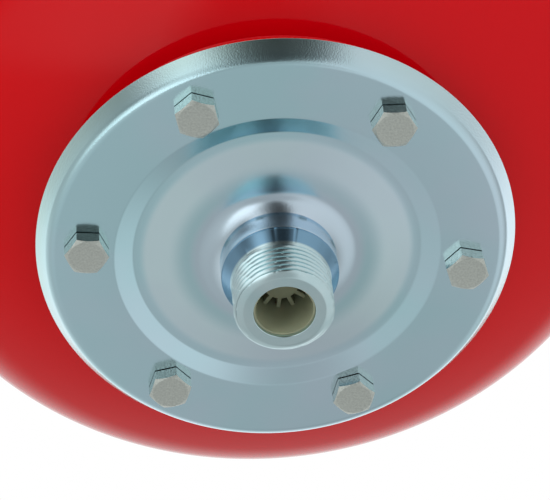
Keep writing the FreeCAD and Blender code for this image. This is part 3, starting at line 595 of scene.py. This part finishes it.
# the bevel is slightly domed, and the thread's first turn and the shoulder are knocked
up = np.clip((height - tip) / (-thread_length - tip), 0, 1)[:, None]
bevel = tip_face + (crest - tip_face) * (1 - (1 - up) ** 1.5)
radius = np.where(on_thread, np.minimum(crest - cut, bevel), radius)
wear = np.exp(-(((height + thread_length) / dent_reach) ** 2))[:, None]
radius = radius - thread_wear * wear * knocks(angle, seed=4, count=26)
shoulder = np.exp(-(((height - flare_rise) / dent_reach) ** 2))[:, None]
shoulder = shoulder * (radius > crest)
radius = radius - shoulder_dents * shoulder * knocks(angle, seed=9, count=5)
nozzle = turned("turned_nozzle", radius, height, columns, crease=25)

# a wave pattern repeats after this length, divided by its scale
wave_band = FULL / 20

# Turned steel under the same zinc, smoother and brighter: the thread's roots are painted
# darker as painted shade, the flare is tinted blue, and rings from the tool cross the end
# face, drawn coarser than they are so that they show.
turned_zinc, tree, place = new_material("turned_and_zinc_plated_steel")
film = add(tree, "TexNoise", {"Scale": 1 / (8 * mm), "Detail": 3.0}, {"Vector": place})
tints = add(
    tree, "Mix", {6: linear("C0E0E5"), 7: linear("D6EBEF")},
    {0: film.outputs["Fac"]}, data_type="RGBA",
)
level = add(tree, "SeparateXYZ", {}, {0: place}).outputs["Z"]
# painted shade: the thread's roots are painted darker, from the end of the bevel onward
root = add(
    tree, "MapRange", {"From Min": crest - 0.35 * depth, "From Max": crest - 0.9 * depth},
    {"Value": off_centre(tree, place)},
)
past_tip = add(
    tree, "MapRange",
    {"From Min": -thread_length, "From Max": 0.3 * mm - thread_length}, {"Value": level},
)
root = add(
    tree, "Math", {}, {0: root.outputs[0], 1: past_tip.outputs[0]}, operation="MULTIPLY",
)
tints = add(
    tree, "Mix", {7: linear("6C8688")},
    {0: root.outputs[0], 6: tints.outputs[2]}, data_type="RGBA",
)
recess = add(tree, "MapRange", {"From Min": 0.0, "From Max": 0.5 * mm}, {"Value": level})
tints = add(
    tree, "Mix", {7: linear("82ABC6")},
    {0: recess.outputs[0], 6: tints.outputs[2]}, data_type="RGBA",
)
steeper = add(tree, "VectorMath", {1: (1, 1, 1.3)}, {0: place}, operation="MULTIPLY")
tool_rings = add(
    tree, "TexWave", {"Scale": wave_band / (2.2 * mm), "Distortion": 0.4},
    {"Vector": steeper.outputs[0]}, wave_type="RINGS", rings_direction="SPHERICAL",
)
ring_bump = add(
    tree, "Bump", {"Strength": 0.12, "Distance": 0.02 * mm},
    {"Height": tool_rings.outputs["Fac"]},
)
metal = add(
    tree, "BsdfPrincipled", {"Metallic": 1.0, "Roughness": 0.16},
    {"Base Color": tints.outputs[2], "Normal": ring_bump.outputs[0]},
)
add(tree, "OutputMaterial", {}, {"Surface": metal.outputs[0]})
dress(nozzle, "vessel", turned_zinc, "turned_zinc", "threaded_nozzle")
dress(nodes["nozzle_weld"], "vessel", turned_zinc, "turned_zinc")

# ------------------------------------------------------------ nozzle insert
# An injection-moulded sleeve of grey-green nylon, pushed into the nozzle from inside. Its
# hub and twelve spokes keep the rubber bag from being sucked into the bore.


def mottled(
    name, tones, patch, detail, shader, relief=None, depth=0.01 * mm, strength=0.3,
    stretch=(1, 1, 1),
):
    """Material whose colour drifts between two tones in patches of about that size.

    The patches may be stretched, and the shader's other values are given. A relief is
    a pattern's kind and values, the output that lifts the surface by depth, and the
    pattern's own settings."""
    material, tree, place = new_material(name)
    stretched = add(tree, "VectorMath", {1: stretch}, {0: place}, operation="MULTIPLY")
    drift = add(
        tree, "TexNoise", {"Scale": 1 / patch, "Detail": detail},
        {"Vector": stretched.outputs[0]},
    )
    tone = add(
        tree, "Mix", {6: linear(tones[0]), 7: linear(tones[1])},
        {0: drift.outputs["Fac"]}, data_type="RGBA",
    )
    links = {"Base Color": tone.outputs[2]}
    if relief:
        kind, values, output, settings = relief
        pattern = add(tree, kind, values, {"Vector": place}, **settings)
        bump = add(
            tree, "Bump", {"Strength": strength, "Distance": depth},
            {"Height": pattern.outputs[output]},
        )
        links["Normal"] = bump.outputs[0]
    surface = add(tree, "BsdfPrincipled", shader, links)
    add(tree, "OutputMaterial", {}, {"Surface": surface.outputs[0]})
    return material


# Moulded nylon: satin grey-green that lets a little light in, over a fine spark texture.
nylon = mottled(
    "moulded_grey_green_nylon", ("858B72", "969B82"), 6 * mm, 3.0,
    {"Roughness": 0.42, "IOR": 1.53, "Subsurface Weight": 0.1, "Subsurface Scale": mm},
    ("TexNoise", {"Scale": 1 / (0.3 * mm)}, "Fac", {}),
)
dress(nodes["nozzle_insert"], "vessel", nylon, "insert_plastic")

# ------------------------------------------------------------ flange bolts
# Six cold-headed M8 screws, 13 mm across flats, zinc-plated in bulk, so that their heads
# are dull on top and scuffed at the corners. Each stopped at its own angle when tightened.
bolt_low, bolt_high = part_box("flange_bolts")
bolt_flats = 13 * mm
bolt_shank = 4 * mm
bolt_pitch = 1.25 * mm
bolt_groove = 0.76 * mm
bolt_chamfer = 1.2 * mm
bolt_face = 6.05 * mm
bolt_dish = 0.12 * mm
bolt_dents = 0.5 * mm
head_edge = 0.15 * mm
head_bevel = 0.35 * mm
head_relief = 0.45 * mm
seat_height = 0.15 * mm
shank_start = 0.4 * mm
shank_rows = 0.16 * mm
corner_slope = math.tan(math.radians(30))
head_height = flat - bolt_low.z
head_turns = (37.7, 9.2, 12.2, 30, 42.2, 24.2)


def hexagon(angle, flats):
    """Distance from a hexagon's middle to its edge: half its flats over the cosine of the
    angle from the nearest flat's middle."""
    off = (angle + FULL / 12) % (FULL / 6) - FULL / 12
    return flats / 2 / np.cos(off)


def full_rows(rows, columns):
    """Radii and heights of a grid, from rows whose radius or height is one number for all
    its columns or one for each."""
    return [
        np.array([np.broadcast_to(row[part], columns) for row in rows]) for part in (0, 1)
    ]


def screw_grid(turn):
    """Grid of one screw about its own axis, seat at 0 and head below.

    Rows run from the middle of the head's face outwards, over a cone of 30 degrees that
    trims the corners, down the hexagon's sides to the seat, then along the threaded
    shank to its chamfered end."""
    columns = 144
    angle = np.arange(columns) * FULL / columns
    edge = hexagon(angle, bolt_flats)
    dents = bolt_dents * knocks(angle / 2, seed=int(10 * turn), count=14)
    rows = []
    for share in np.linspace(0, 1, 8):
        rows.append((share * bolt_face, -head_height + bolt_dish * (1 - share**4)))
    for share in np.linspace(0, 1, 6)[1:]:
        out = bolt_face + (edge - bolt_face - dents * share) * share
        rows.append((out, -head_height + (out - bolt_face) * corner_slope))
    side_top = rows[-1][1]
    rows += [
        (edge, side_top + head_edge),
        (edge, side_top * 0.5),
        (edge, -head_bevel),
        (edge - head_relief, -seat_height),
        (edge - head_relief, 0),
        (bolt_shank, 0),
    ]
    length = bolt_high.z - flat
    for down in np.arange(shank_start, length, shank_rows):
        end = bolt_shank - max(down - length + bolt_chamfer, 0)
        groove = bolt_groove * thread_groove(down, angle, bolt_pitch)
        rows.append((np.minimum(bolt_shank - groove, end), down))
    rows.append((0, length - 0.01 * mm))
    radius, height = full_rows(rows, columns)
    angle = angle + math.radians(turn)
    return np.stack([radius * np.cos(angle), radius * np.sin(angle), height], -1)


# Barrel-plated zinc on forged steel: a warm grey satin, pitted finely on the face where
# the heads knock together in the barrel, glossier on the drawn flanks, and painted dark
# where each head meets the seat, as painted shade of the gap under it.
bulk_zinc, tree, place = new_material("barrel_plated_forged_steel")
pits = add(tree, "TexNoise", {"Scale": 1 / (0.7 * mm), "Detail": 3.0}, {"Vector": place})
tone = add(
    tree, "Mix", {6: linear("B2BAB4"), 7: linear("E6EDE6")},
    {0: pits.outputs["Fac"]}, data_type="RGBA",
)
facing = add(tree, "NewGeometry").outputs["Normal"]
upright = add(tree, "SeparateXYZ", {}, {0: facing}).outputs["Z"]
on_face = add(
    tree, "MapRange", {"From Min": -0.9, "From Max": -0.3, "To Min": 0.46, "To Max": 0.2},
    {"Value": upright},
)
pit_bump = add(
    tree, "Bump", {"Strength": 1.0, "Distance": 0.12 * mm}, {"Height": pits.outputs["Fac"]},
)
level = add(tree, "SeparateXYZ", {}, {0: place}).outputs["Z"]
# painted shade: the band of each head next to the seat is painted near black, standing in
# for the shade of the gap under the head
painted_seat_shade = add(
    tree, "MapRange",
    {"From Min": flat - head_relief, "From Max": flat - 0.3 * mm}, {"Value": level},
)
tone = add(
    tree, "Mix", {7: linear("303634")},
    {0: painted_seat_shade.outputs[0], 6: tone.outputs[2]}, data_type="RGBA",
)
metal = add(
    tree, "BsdfPrincipled", {"Metallic": 1.0},
    {
        "Base Color": tone.outputs[2], "Roughness": on_face.outputs[0],
        "Normal": pit_bump.outputs[0],
    },
)
add(tree, "OutputMaterial", {}, {"Surface": metal.outputs[0]})

for number, turn in enumerate(head_turns):
    grid = screw_grid(turn)
    around = FULL * number / 6
    grid += np.array([bolt_circle * math.cos(around), bolt_circle * math.sin(around), flat])
    screw = skin(f"flange_screw_{number + 1}", grid, rows_close=False, crease=22)
    dress(screw, "vessel", bulk_zinc, "bolt_zinc", "flange_bolts")

# ------------------------------------------------------------ membrane
# A butyl rubber bag blown into a mould, with a thick bead at its neck that the
# counterflange clamps on the ring. It hangs relaxed, slightly out of round.
bag_wall = 2 * mm
bag_shoulder = 76 * mm
bag_straight = 188 * mm
bag_slack = 0.4 * mm
bag_fade = 60 * mm
flattening = 0.004
# where a turned wall crosses the axis, so fine a hole leaves it one closed surface
pinhole = 0.01 * mm
bag_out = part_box("membrane")[1].x - bag_slack
bag_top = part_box("membrane")[1].z
bag_in = bag_out - bag_wall
bag_high = bag_top - bag_out
bag_low = bag_high - bag_straight
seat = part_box("flange_ring")[0].z
bag_neck = ring_in - 0.5 * mm
bag_neck_in = bag_neck - bag_wall
shoulder_centre = bag_out - bag_shoulder
neck_end = bag_low - math.sqrt(bag_shoulder**2 - (bag_neck - shoulder_centre) ** 2)
inside_end = bag_low - math.sqrt(
    (bag_shoulder - bag_wall) ** 2 - (bag_neck_in - shoulder_centre) ** 2
)
lip = bolt_circle - 6.25 * mm
radius, height = outline([
    (bag_neck_in, floor + plate_wall),
    (floor_out, floor + plate_wall),
    (flat_in, flat + plate_wall),
    (lip, flat + plate_wall),
    (lip, seat),
    (bag_neck, seat),
    (bag_neck, neck_end),
    (bag_out, bag_low, bag_shoulder, -1),
    (bag_out, bag_high),
    (pinhole, bag_high + bag_out, bag_out, -1),
    (pinhole, bag_high + bag_in),
    (bag_in, bag_high, bag_in, 1),
    (bag_in, bag_low),
    (bag_neck_in, inside_end, bag_shoulder - bag_wall, 1),
], 4)
columns = 240
angle = np.arange(columns) * FULL / columns
# two shallow flats run up the bag, slowly turning, and fade out towards its clamped neck
free = np.clip((height - neck_end) / bag_fade, 0, 1)[:, None]
wave = np.cos(2 * angle + 0.6 + 8 * height[:, None])
slack = 1 - flattening * free * (1 + wave)
bag = turned("rubber_bag", radius[:, None] * slack, height, columns)

# Butyl rubber: nearly black and matt, dusted grey with the talc it was packed in.
rubber = mottled(
    "black_butyl_rubber", ("1C1C1D", "2E2E30"), 20 * mm, 4.0,
    {"Roughness": 0.65, "IOR": 1.52},
    ("TexNoise", {"Scale": 1 / (0.4 * mm)}, "Fac", {}), depth=0.02 * mm,
)
dress(bag, "vessel", rubber, "black_rubber", "membrane")

# ------------------------------------------------------------ valve boss and its weld
# A threaded steel socket let into the upper head and fillet-welded outside, coated red
# with the shell, and a rubber washer squeezed on it by the valve.
boss_bore = 6.6 * mm
boss_edge = 0.5 * mm


def soft_ring(name, node, bore, edge, columns):
    """Turned ring as large as a node's box, its two outer edges rounded by edge."""
    low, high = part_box(node)
    return turned(name, *outline([
        (bore, low.z),
        (high.x - edge, low.z),
        (high.x, low.z + edge, edge, -1),
        (high.x, high.z - edge),
        (high.x - edge, high.z, edge, -1),
        (bore, high.z),
    ], 15), columns)


boss = soft_ring("valve_socket", "valve_boss", boss_bore, boss_edge, 96)
dress(boss, "vessel", powder_coat, "red_coating", "valve_boss")
boss_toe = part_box("valve_boss_weld")[1].x
boss_bead = fillet_bead(
    "boss_bead", boss_out, boss_toe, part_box("valve_boss_weld")[1].z,
    top_pole - crown_drop(boss_toe), bulge=-0.25 * mm, pitch=1.8 * mm, columns=480,
)
dress(boss_bead, "vessel", powder_coat, "red_coating", "valve_boss_weld")

washer_low, washer_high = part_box("valve_washer")
washer_out = washer_high.x
squeeze = 0.25 * mm
washer_half = (washer_high.z - washer_low.z) / 2
bulge = (washer_half**2 + squeeze**2) / (2 * squeeze)
washer = turned("squeezed_washer", *outline([
    (boss_bore, washer_low.z),
    (washer_out - squeeze, washer_low.z),
    (washer_out - squeeze, washer_high.z, bulge, -1),
    (boss_bore, washer_high.z),
]), 96)
dress(washer, "vessel", rubber, "black_rubber", "valve_washer")

# ------------------------------------------------------------ air valve
# A brass tyre valve: shank, 17 mm hexagon chamfered at 30 degrees, and an 8V1 stem of 32
# turns to the inch. Its core screws in with a sealing ring and carries the pin.
valve_low, valve_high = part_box("valve_body")
stem = 3.85 * mm
stem_pitch = 25.4 / 32 * mm
valve_flats = 17 * mm
valve_face = 8.4 * mm
shank = boss_bore - 0.05 * mm
shank_chamfer = 0.3 * mm
stem_groove = 0.5 * mm
stem_shoulder = 0.3 * mm
stem_chamfer = 0.4 * mm
hexagon_low = washer_high.z
hexagon_high = hexagon_low + 4.5 * mm
core_bore = 2.65 * mm
air_bore = 1.6 * mm
barrel_foot = valve_high.z - 8 * mm
columns = 192
angle = np.arange(columns) * FULL / columns
corner = hexagon(angle, valve_flats)
trimmed = np.minimum(corner, valve_face)
slope = (corner - trimmed) * corner_slope
rows = [
    (air_bore, valve_low.z),
    (shank - shank_chamfer, valve_low.z),
    (shank, valve_low.z + shank_chamfer),
    (shank, hexagon_low),
    (trimmed, hexagon_low),
    (corner, hexagon_low + slope),
    (corner, hexagon_high - slope),
    (trimmed, hexagon_high),
    (stem + stem_shoulder, hexagon_high),
]
for level in np.linspace(hexagon_high + stem_shoulder, valve_high.z, 150):
    run_in = min((level - hexagon_high) / mm - 0.3, 1)
    end = stem - max(level - valve_high.z + stem_chamfer, 0)
    groove = stem_groove * run_in * thread_groove(level, angle, stem_pitch)
    rows.append((np.minimum(stem - groove, end), level))
rows += [
    (core_bore, valve_high.z),
    (core_bore, barrel_foot),
    (air_bore, barrel_foot - mm),
]
radius, height = full_rows(rows, columns)
valve = turned("tyre_valve", radius, height, columns, crease=25)

# Machined brass, a warm yellow metal with bright tool rings and a slight brown bloom.
brass = mottled(
    "machined_brass", ("D8B45E", "E6C77C"), 3 * mm, 3.0,
    {"Metallic": 1.0, "Roughness": 0.22},
    (
        "TexWave", {"Scale": wave_band / (1.885 * mm), "Distortion": 0.3}, "Fac",
        {"wave_type": "BANDS", "bands_direction": "Z"},
    ),
    strength=0.1,
)
dress(valve, "vessel", brass, "valve_brass", "valve_body")
dress(nodes["valve_core"], "vessel", brass, "valve_brass")
dress(nodes["valve_pin"], "valve_pin", brass, "valve_brass")

# The core's ring is a milky white plastic with a waxy sheen and the pin's face is black
# rubber, both with soft edges.
ring_low, ring_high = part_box("core_seal")
sleeve = 1.3 * mm
soft = 0.15 * mm
nose = air_bore - 0.05 * mm
core_ring = turned("core_ring", *outline([
    (sleeve, ring_low.z),
    (nose - soft, ring_low.z),
    (nose, ring_low.z + soft, soft, -1),
    (nose, barrel_foot - mm),
    (ring_high.x, ring_high.z - soft),
    (ring_high.x - soft, ring_high.z, soft, -1),
    (sleeve, ring_high.z),
], 15), 64)
white_plastic = mottled(
    "white_sealing_plastic", ("DDDCD6", "E8E7E2"), mm, 2.0,
    {"Roughness": 0.35, "IOR": 1.35},
)
dress(core_ring, "vessel", white_plastic, "seal_plastic", "core_seal")

pin = 0.55 * mm
pin_face = soft_ring("pin_face", "pin_seal", pin, soft, 64)
dress(pin_face, "valve_pin", rubber, "black_rubber", "pin_seal")

# ------------------------------------------------------------ valve spring
# Hard-drawn steel wire of 0.3 mm in six turns, between the core's floor and the pin's
# collar. It closes up when the pin is pressed.
spring_low, spring_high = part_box("valve_spring")
wire = 0.15 * mm
coil = spring_high.x - wire
coil_turns = 6


def along_path(path, radius, around=10):
    """Grid of a round wire: at each point of the path a circle of that radius lies in the
    plane across it, spanned by the outward and the upright direction there. The two end
    rows shrink to their centres."""
    ahead = np.gradient(path, axis=0)
    ahead /= np.linalg.norm(ahead, axis=1, keepdims=True)
    out = path * [1, 1, 0]
    out /= np.linalg.norm(out, axis=1, keepdims=True)
    upright = np.cross(ahead, out)
    size = np.full((len(path), 1, 1), radius)
    size[[0, -1]] = 0
    angle = (np.arange(around) * FULL / around)[None, :, None]
    across = np.cos(angle) * out[:, None] + np.sin(angle) * upright[:, None]
    return path[:, None] + size * across


share = np.linspace(0, 1, 400)
rise = spring_high.z - spring_low.z - 2 * wire
level = spring_low.z + wire + rise * share
wound = coil_turns * FULL * share
path = np.stack([coil * np.cos(wound), coil * np.sin(wound), level], -1)
path = np.concatenate([path[:1], path, path[-1:]])
path[0] -= (path[2] - path[1]) * 0.01
path[-1] += (path[-2] - path[-3]) * 0.01
spring = skin("coil_spring", along_path(path, wire), rows_close=False)

# Bright drawn wire: a cool grey metal, a little dulled by the die.
spring_steel = mottled(
    "hard_drawn_spring_steel", ("A8A9AB", "BBBCBE"), mm, 2.0,
    {"Metallic": 1.0, "Roughness": 0.25},
)
dress(spring, "vessel", spring_steel, "spring_steel", "valve_spring")
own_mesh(spring)

# ------------------------------------------------------------ dust cap and its seal
# A brass cap with two dozen grooves to grip it by, screwed over the stem, with a rubber
# disc inside that seals the stem's mouth a second time.
cap_low, cap_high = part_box("dust_cap")
cap_out = cap_high.x + 0.025 * mm
cap_bore = stem + 0.1 * mm
cap_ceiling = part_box("cap_seal")[1].z + 0.03 * mm
cap_edge = 0.6 * mm
cap_shoulder = cap_out - 0.35 * mm
groove_depth = 0.3 * mm
grooves = 24
columns = grooves * 12
angle = np.arange(columns) * FULL / columns
grip = cap_out - groove_depth * np.clip(np.cos(grooves * angle), 0, 1) ** 2
rows = [
    (cap_bore, cap_low.z),
    (cap_out - 0.5 * mm, cap_low.z),
    (cap_shoulder, cap_low.z + 0.2 * mm),
    (grip, cap_low.z + 0.5 * mm),
    (grip, cap_high.z - cap_edge - 0.3 * mm),
]
for tilt in np.linspace(0, math.pi / 2, 6):
    out = cap_shoulder - cap_edge * (1 - math.cos(tilt))
    rows.append((out, cap_high.z - cap_edge * (1 - math.sin(tilt))))
rows += [
    (pinhole, cap_high.z),
    (pinhole, cap_ceiling),
    (cap_bore, cap_ceiling),
]
radius, height = full_rows(rows, columns)
cap = turned("knurled_cap", radius, height, columns, crease=40)
dress(cap, "dust_cap", brass, "valve_brass", "dust_cap")

cap_disc = soft_ring("cap_disc", "cap_seal", pinhole, soft, 96)
dress(cap_disc, "cap_lifter", rubber, "black_rubber", "cap_seal")

# ------------------------------------------------------------ valve cover
# A thin moulded cap of black plastic, pushed over the valve by hand. Its skirt follows the
# crown, and six ribs inside spring over the hexagon's corners.

# Polypropylene from a spark-eroded mould: nearly black, with a soft sheen on its pebbles.
black_plastic = mottled(
    "textured_black_polypropylene", ("1A1A1B", "212122"), 15 * mm, 2.0,
    {"Roughness": 0.45, "IOR": 1.49},
    ("TexVoronoi", {"Scale": 1 / (0.35 * mm)}, "Distance", {}),
    depth=0.03 * mm, strength=0.4,
)
dress(nodes["valve_cover"], "valve_cover", black_plastic, "black_plastic")

# ------------------------------------------------------------ rating plate
# A blank self-adhesive plate of matt silver foil, cut with rounded corners and smoothed
# onto the barrel by hand over its film of glue.
plate_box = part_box("rating_plate")
half_height = (plate_box[1].z - plate_box[0].z) / 2
half_turn = math.asin(plate_box[1].y / plate_box[1].x)
glue = 0.2 * mm
foil = 0.3 * mm
corner_round = 4 * mm
share = np.sin(np.linspace(-math.pi / 2, math.pi / 2, 41))
level = (plate_box[0].z + plate_box[1].z) / 2 + share * half_height
over = np.maximum(np.abs(share) * half_height - (half_height - corner_round), 0)
trim = corner_round - np.sqrt(corner_round**2 - over**2)
half_width = half_turn - trim / barrel
across = np.linspace(-1, 1, 81)
front_turn = half_width[:, None] * across
back_turn = half_width[:, None] * across[::-1]
turn = np.hstack([front_turn, back_turn])
back = np.full(back_turn.shape, barrel + glue)
out = np.hstack([back + foil, back])
grid = np.stack([out * np.cos(turn), out * np.sin(turn), level[:, None] + 0 * turn], -1)
# front and back meet halfway at the two ends
ends = (grid[[0, -1]] + grid[[0, -1], ::-1]) / 2
grid = np.concatenate([ends[:1], grid, ends[1:]])
label = skin("foil_plate", grid, rows_close=False)

# Aluminium foil with a matt lacquer: a pale grey metal with faint upright rolling marks.
foil_label = mottled(
    "matt_silver_foil", ("C9CACC", "D8D9DB"), 0.8 * mm, 2.0,
    {"Metallic": 1.0, "Roughness": 0.4}, stretch=(1, 1, 0.02),
)
dress(label, "vessel", foil_label, "foil_label", "rating_plate")

# ------------------------------------------------------------ camera and light
# A pale floor under a soft studio light, with the vessel seen from below its flange.
flange_centre = np.array([0, 0, flat])
distance = 850 * mm
aside = 0.99 * mm
above = 2.23 * mm
azimuth = math.radians(-11.40)
elevation = math.radians(54.46)
roll = math.radians(6.88)
ahead = np.array([
    -math.sin(azimuth) * math.cos(elevation),
    math.cos(azimuth) * math.cos(elevation),
    math.sin(elevation),
])
side = np.cross(ahead, [0, 0, 1])
side /= np.linalg.norm(side)
level_up = np.cross(side, ahead)
up = math.cos(roll) * level_up + math.sin(roll) * side
side = np.cross(ahead, up)
lens = bpy.data.cameras.new("camera")
lens.sensor_width = 36
lens.lens = 165.5
lens.clip_end = 50
camera = put_in_scene("camera", lens)
camera.location = flange_centre - distance * ahead - aside * side + above * up
camera.rotation_euler = Matrix(np.stack([side, up, -ahead], -1).tolist()).to_euler()
bpy.context.scene.camera = camera
bpy.context.scene.view_settings.view_transform = "Standard"


def lamp(name, place, size, power):
    """Square soft box at a place, turned to face the flange. Metal and gloss don't mirror
    it, but the panels painted in the world below."""
    light = bpy.data.lights.new(name, "AREA")
    light.size = size
    light.energy = power
    light.spread = math.radians(110)
    box = put_in_scene(name, light)
    box.location = place
    aim = Vector(flange_centre) - box.location
    box.rotation_euler = aim.to_track_quat("-Z", "Y").to_euler()
    box.visible_camera = False
    box.visible_glossy = False


lamp("left_box", (-0.9, -0.75, -0.35), 0.6, 1.8)
lamp("right_box", (0.85, -0.6, -0.3), 0.8, 1.1)
lamp("top_box", (0.3, -0.4, 1.8), 1.2, 8)

# The studio that metal and gloss mirror, as grey levels by bearing in degrees from the
# front: a wide soft box on the right, a small bright one low on the left, the dark gap
# that the camera stands in, pale walls and a darker doorway behind.
low_ring = (
    (-180, 0.50), (-150, 0.55), (-125, 0.58), (-108, 0.67), (-100, 1.2), (-92, 1.3),
    (-55, 1.3), (-45, 1.0), (-35, 0.6), (-25, 0.35), (-15, 0.12), (0, 0.06), (12, 0.08),
    (20, 0.3), (27, 0.70), (60, 0.74), (120, 0.73), (145, 0.66), (155, 0.52),
    (165, 0.45), (172, 0.48), (180, 0.50),
)
middle_ring = (
    (-180, 0.47), (-150, 0.50), (-120, 0.52), (-90, 0.51), (-80, 0.42), (-70, 0.30),
    (-60, 0.26), (-50, 0.55), (-40, 0.97), (-30, 0.77), (-20, 0.28), (-10, 0.09),
    (0, 0.05), (10, 0.08), (18, 0.3), (25, 0.72), (40, 0.74), (60, 0.70), (90, 0.67),
    (130, 0.67), (140, 0.64), (150, 0.5), (160, 0.32), (170, 0.36), (180, 0.47),
)
level_ring = (
    (-180, 0.8), (-150, 0.75), (-125, 0.76), (-115, 0.6), (-106, 0.49), (-86, 0.51),
    (-75, 0.42), (-64, 0.33), (-55, 0.5), (-48, 0.9), (-41, 1.1), (-33, 1.1), (-25, 0.6),
    (-18, 0.15), (-8, 0.05), (10, 0.06), (18, 0.3), (25, 0.74), (45, 0.73), (60, 0.68),
    (74, 0.56), (93, 0.42), (105, 0.38), (120, 0.4), (135, 0.5), (150, 0.7), (180, 0.8),
)
brightest = 1.3
ceiling = 1.1
underside = 0.42


def grey(level):
    """Colour of a grey level as a share of the brightest panel."""
    return (level / brightest,) * 3 + (1.0,)


world = bpy.data.worlds.new("studio")
bpy.context.scene.world = world
world.use_nodes = True
tree = world.node_tree
tree.nodes.clear()
outwards = add(tree, "TexCoord").outputs["Generated"]
part = add(tree, "SeparateXYZ", {}, {0: outwards})
front = add(tree, "Math", {1: -1.0}, {0: part.outputs["Y"]}, operation="MULTIPLY")
bearing = add(
    tree, "Math", {}, {0: part.outputs["X"], 1: front.outputs[0]}, operation="ARCTAN2",
)
round_share = add(
    tree, "MapRange",
    {"From Min": -math.pi, "From Max": math.pi}, {"Value": bearing.outputs[0]},
)
shade = add(tree, "RGB").outputs[0]
shade.default_value = grey(underside)
# each ring of panels takes over from the one under it between two slopes of the ray
for ring, start, end in (
    (low_ring, -0.99, -0.96), (middle_ring, -0.87, -0.5), (level_ring, -0.5, 0.0),
):
    panels = add(tree, "ValToRGB", {}, {"Fac": round_share.outputs[0]})
    stops = panels.color_ramp.elements
    stops.remove(stops[1])
    for number, (turn, level) in enumerate(ring):
        stop = stops.new(turn / 360 + 0.5) if number else stops[0]
        stop.position = turn / 360 + 0.5
        stop.color = grey(level)
    rise = add(
        tree, "MapRange", {"From Min": start, "From Max": end},
        {"Value": part.outputs["Z"]},
    )
    shade = add(
        tree, "Mix", {}, {0: rise.outputs[0], 6: shade, 7: panels.outputs[0]},
        data_type="RGBA",
    ).outputs[2]
rise = add(
    tree, "MapRange", {"From Min": 0.0, "From Max": 0.3}, {"Value": part.outputs["Z"]},
)
shade = add(
    tree, "Mix", {7: grey(ceiling)}, {0: rise.outputs[0], 6: shade}, data_type="RGBA",
).outputs[2]
path = add(tree, "LightPath")
seen = add(
    tree, "Math", {},
    {0: path.outputs["Is Camera Ray"], 1: path.outputs["Is Transmission Ray"]},
    operation="MAXIMUM",
)
# dull surfaces get an even fill, and the view itself ends in white
fill = add(tree, "Background", {"Color": linear("FFFFFF"), "Strength": 0.9})
mirrored = add(tree, "Background", {"Strength": brightest}, {"Color": shade})
white = add(tree, "Background", {"Color": linear("FFFFFF")})
lit = add(
    tree, "MixShader", {},
    {0: path.outputs["Is Glossy Ray"], 1: fill.outputs[0], 2: mirrored.outputs[0]},
)
both = add(
    tree, "MixShader", {}, {0: seen.outputs[0], 1: lit.outputs[0], 2: white.outputs[0]},
)
add(tree, "OutputWorld", {}, {"Surface": both.outputs[0]})

floor_level = -750 * mm
floor_half = 8.0
corners = [(-1, -1), (1, -1), (1, 1), (-1, 1)]
ground = bpy.data.meshes.new("floor")
ground.from_pydata(
    [(floor_half * x, floor_half * y, floor_level) for x, y in corners], [], [(0, 1, 2, 3)],
)
stage_floor = put_in_scene("floor", ground)

# Pale matt paper, clear from below and in a mirror, so that it hides nothing.
pale, tree, _ = new_material("pale_floor")
paper = add(tree, "BsdfDiffuse", {"Color": linear("E8E8E8")})
behind = add(tree, "NewGeometry").outputs["Backfacing"]
mirrored = add(tree, "LightPath").outputs["Is Glossy Ray"]
either = add(tree, "Math", {}, {0: behind, 1: mirrored}, operation="MAXIMUM")
clear = add(tree, "BsdfTransparent")
both = add(
    tree, "MixShader", {}, {0: either.outputs[0], 1: paper.outputs[0], 2: clear.outputs[0]},
)
add(tree, "OutputMaterial", {}, {"Surface": both.outputs[0]})
ground.materials.append(pale)
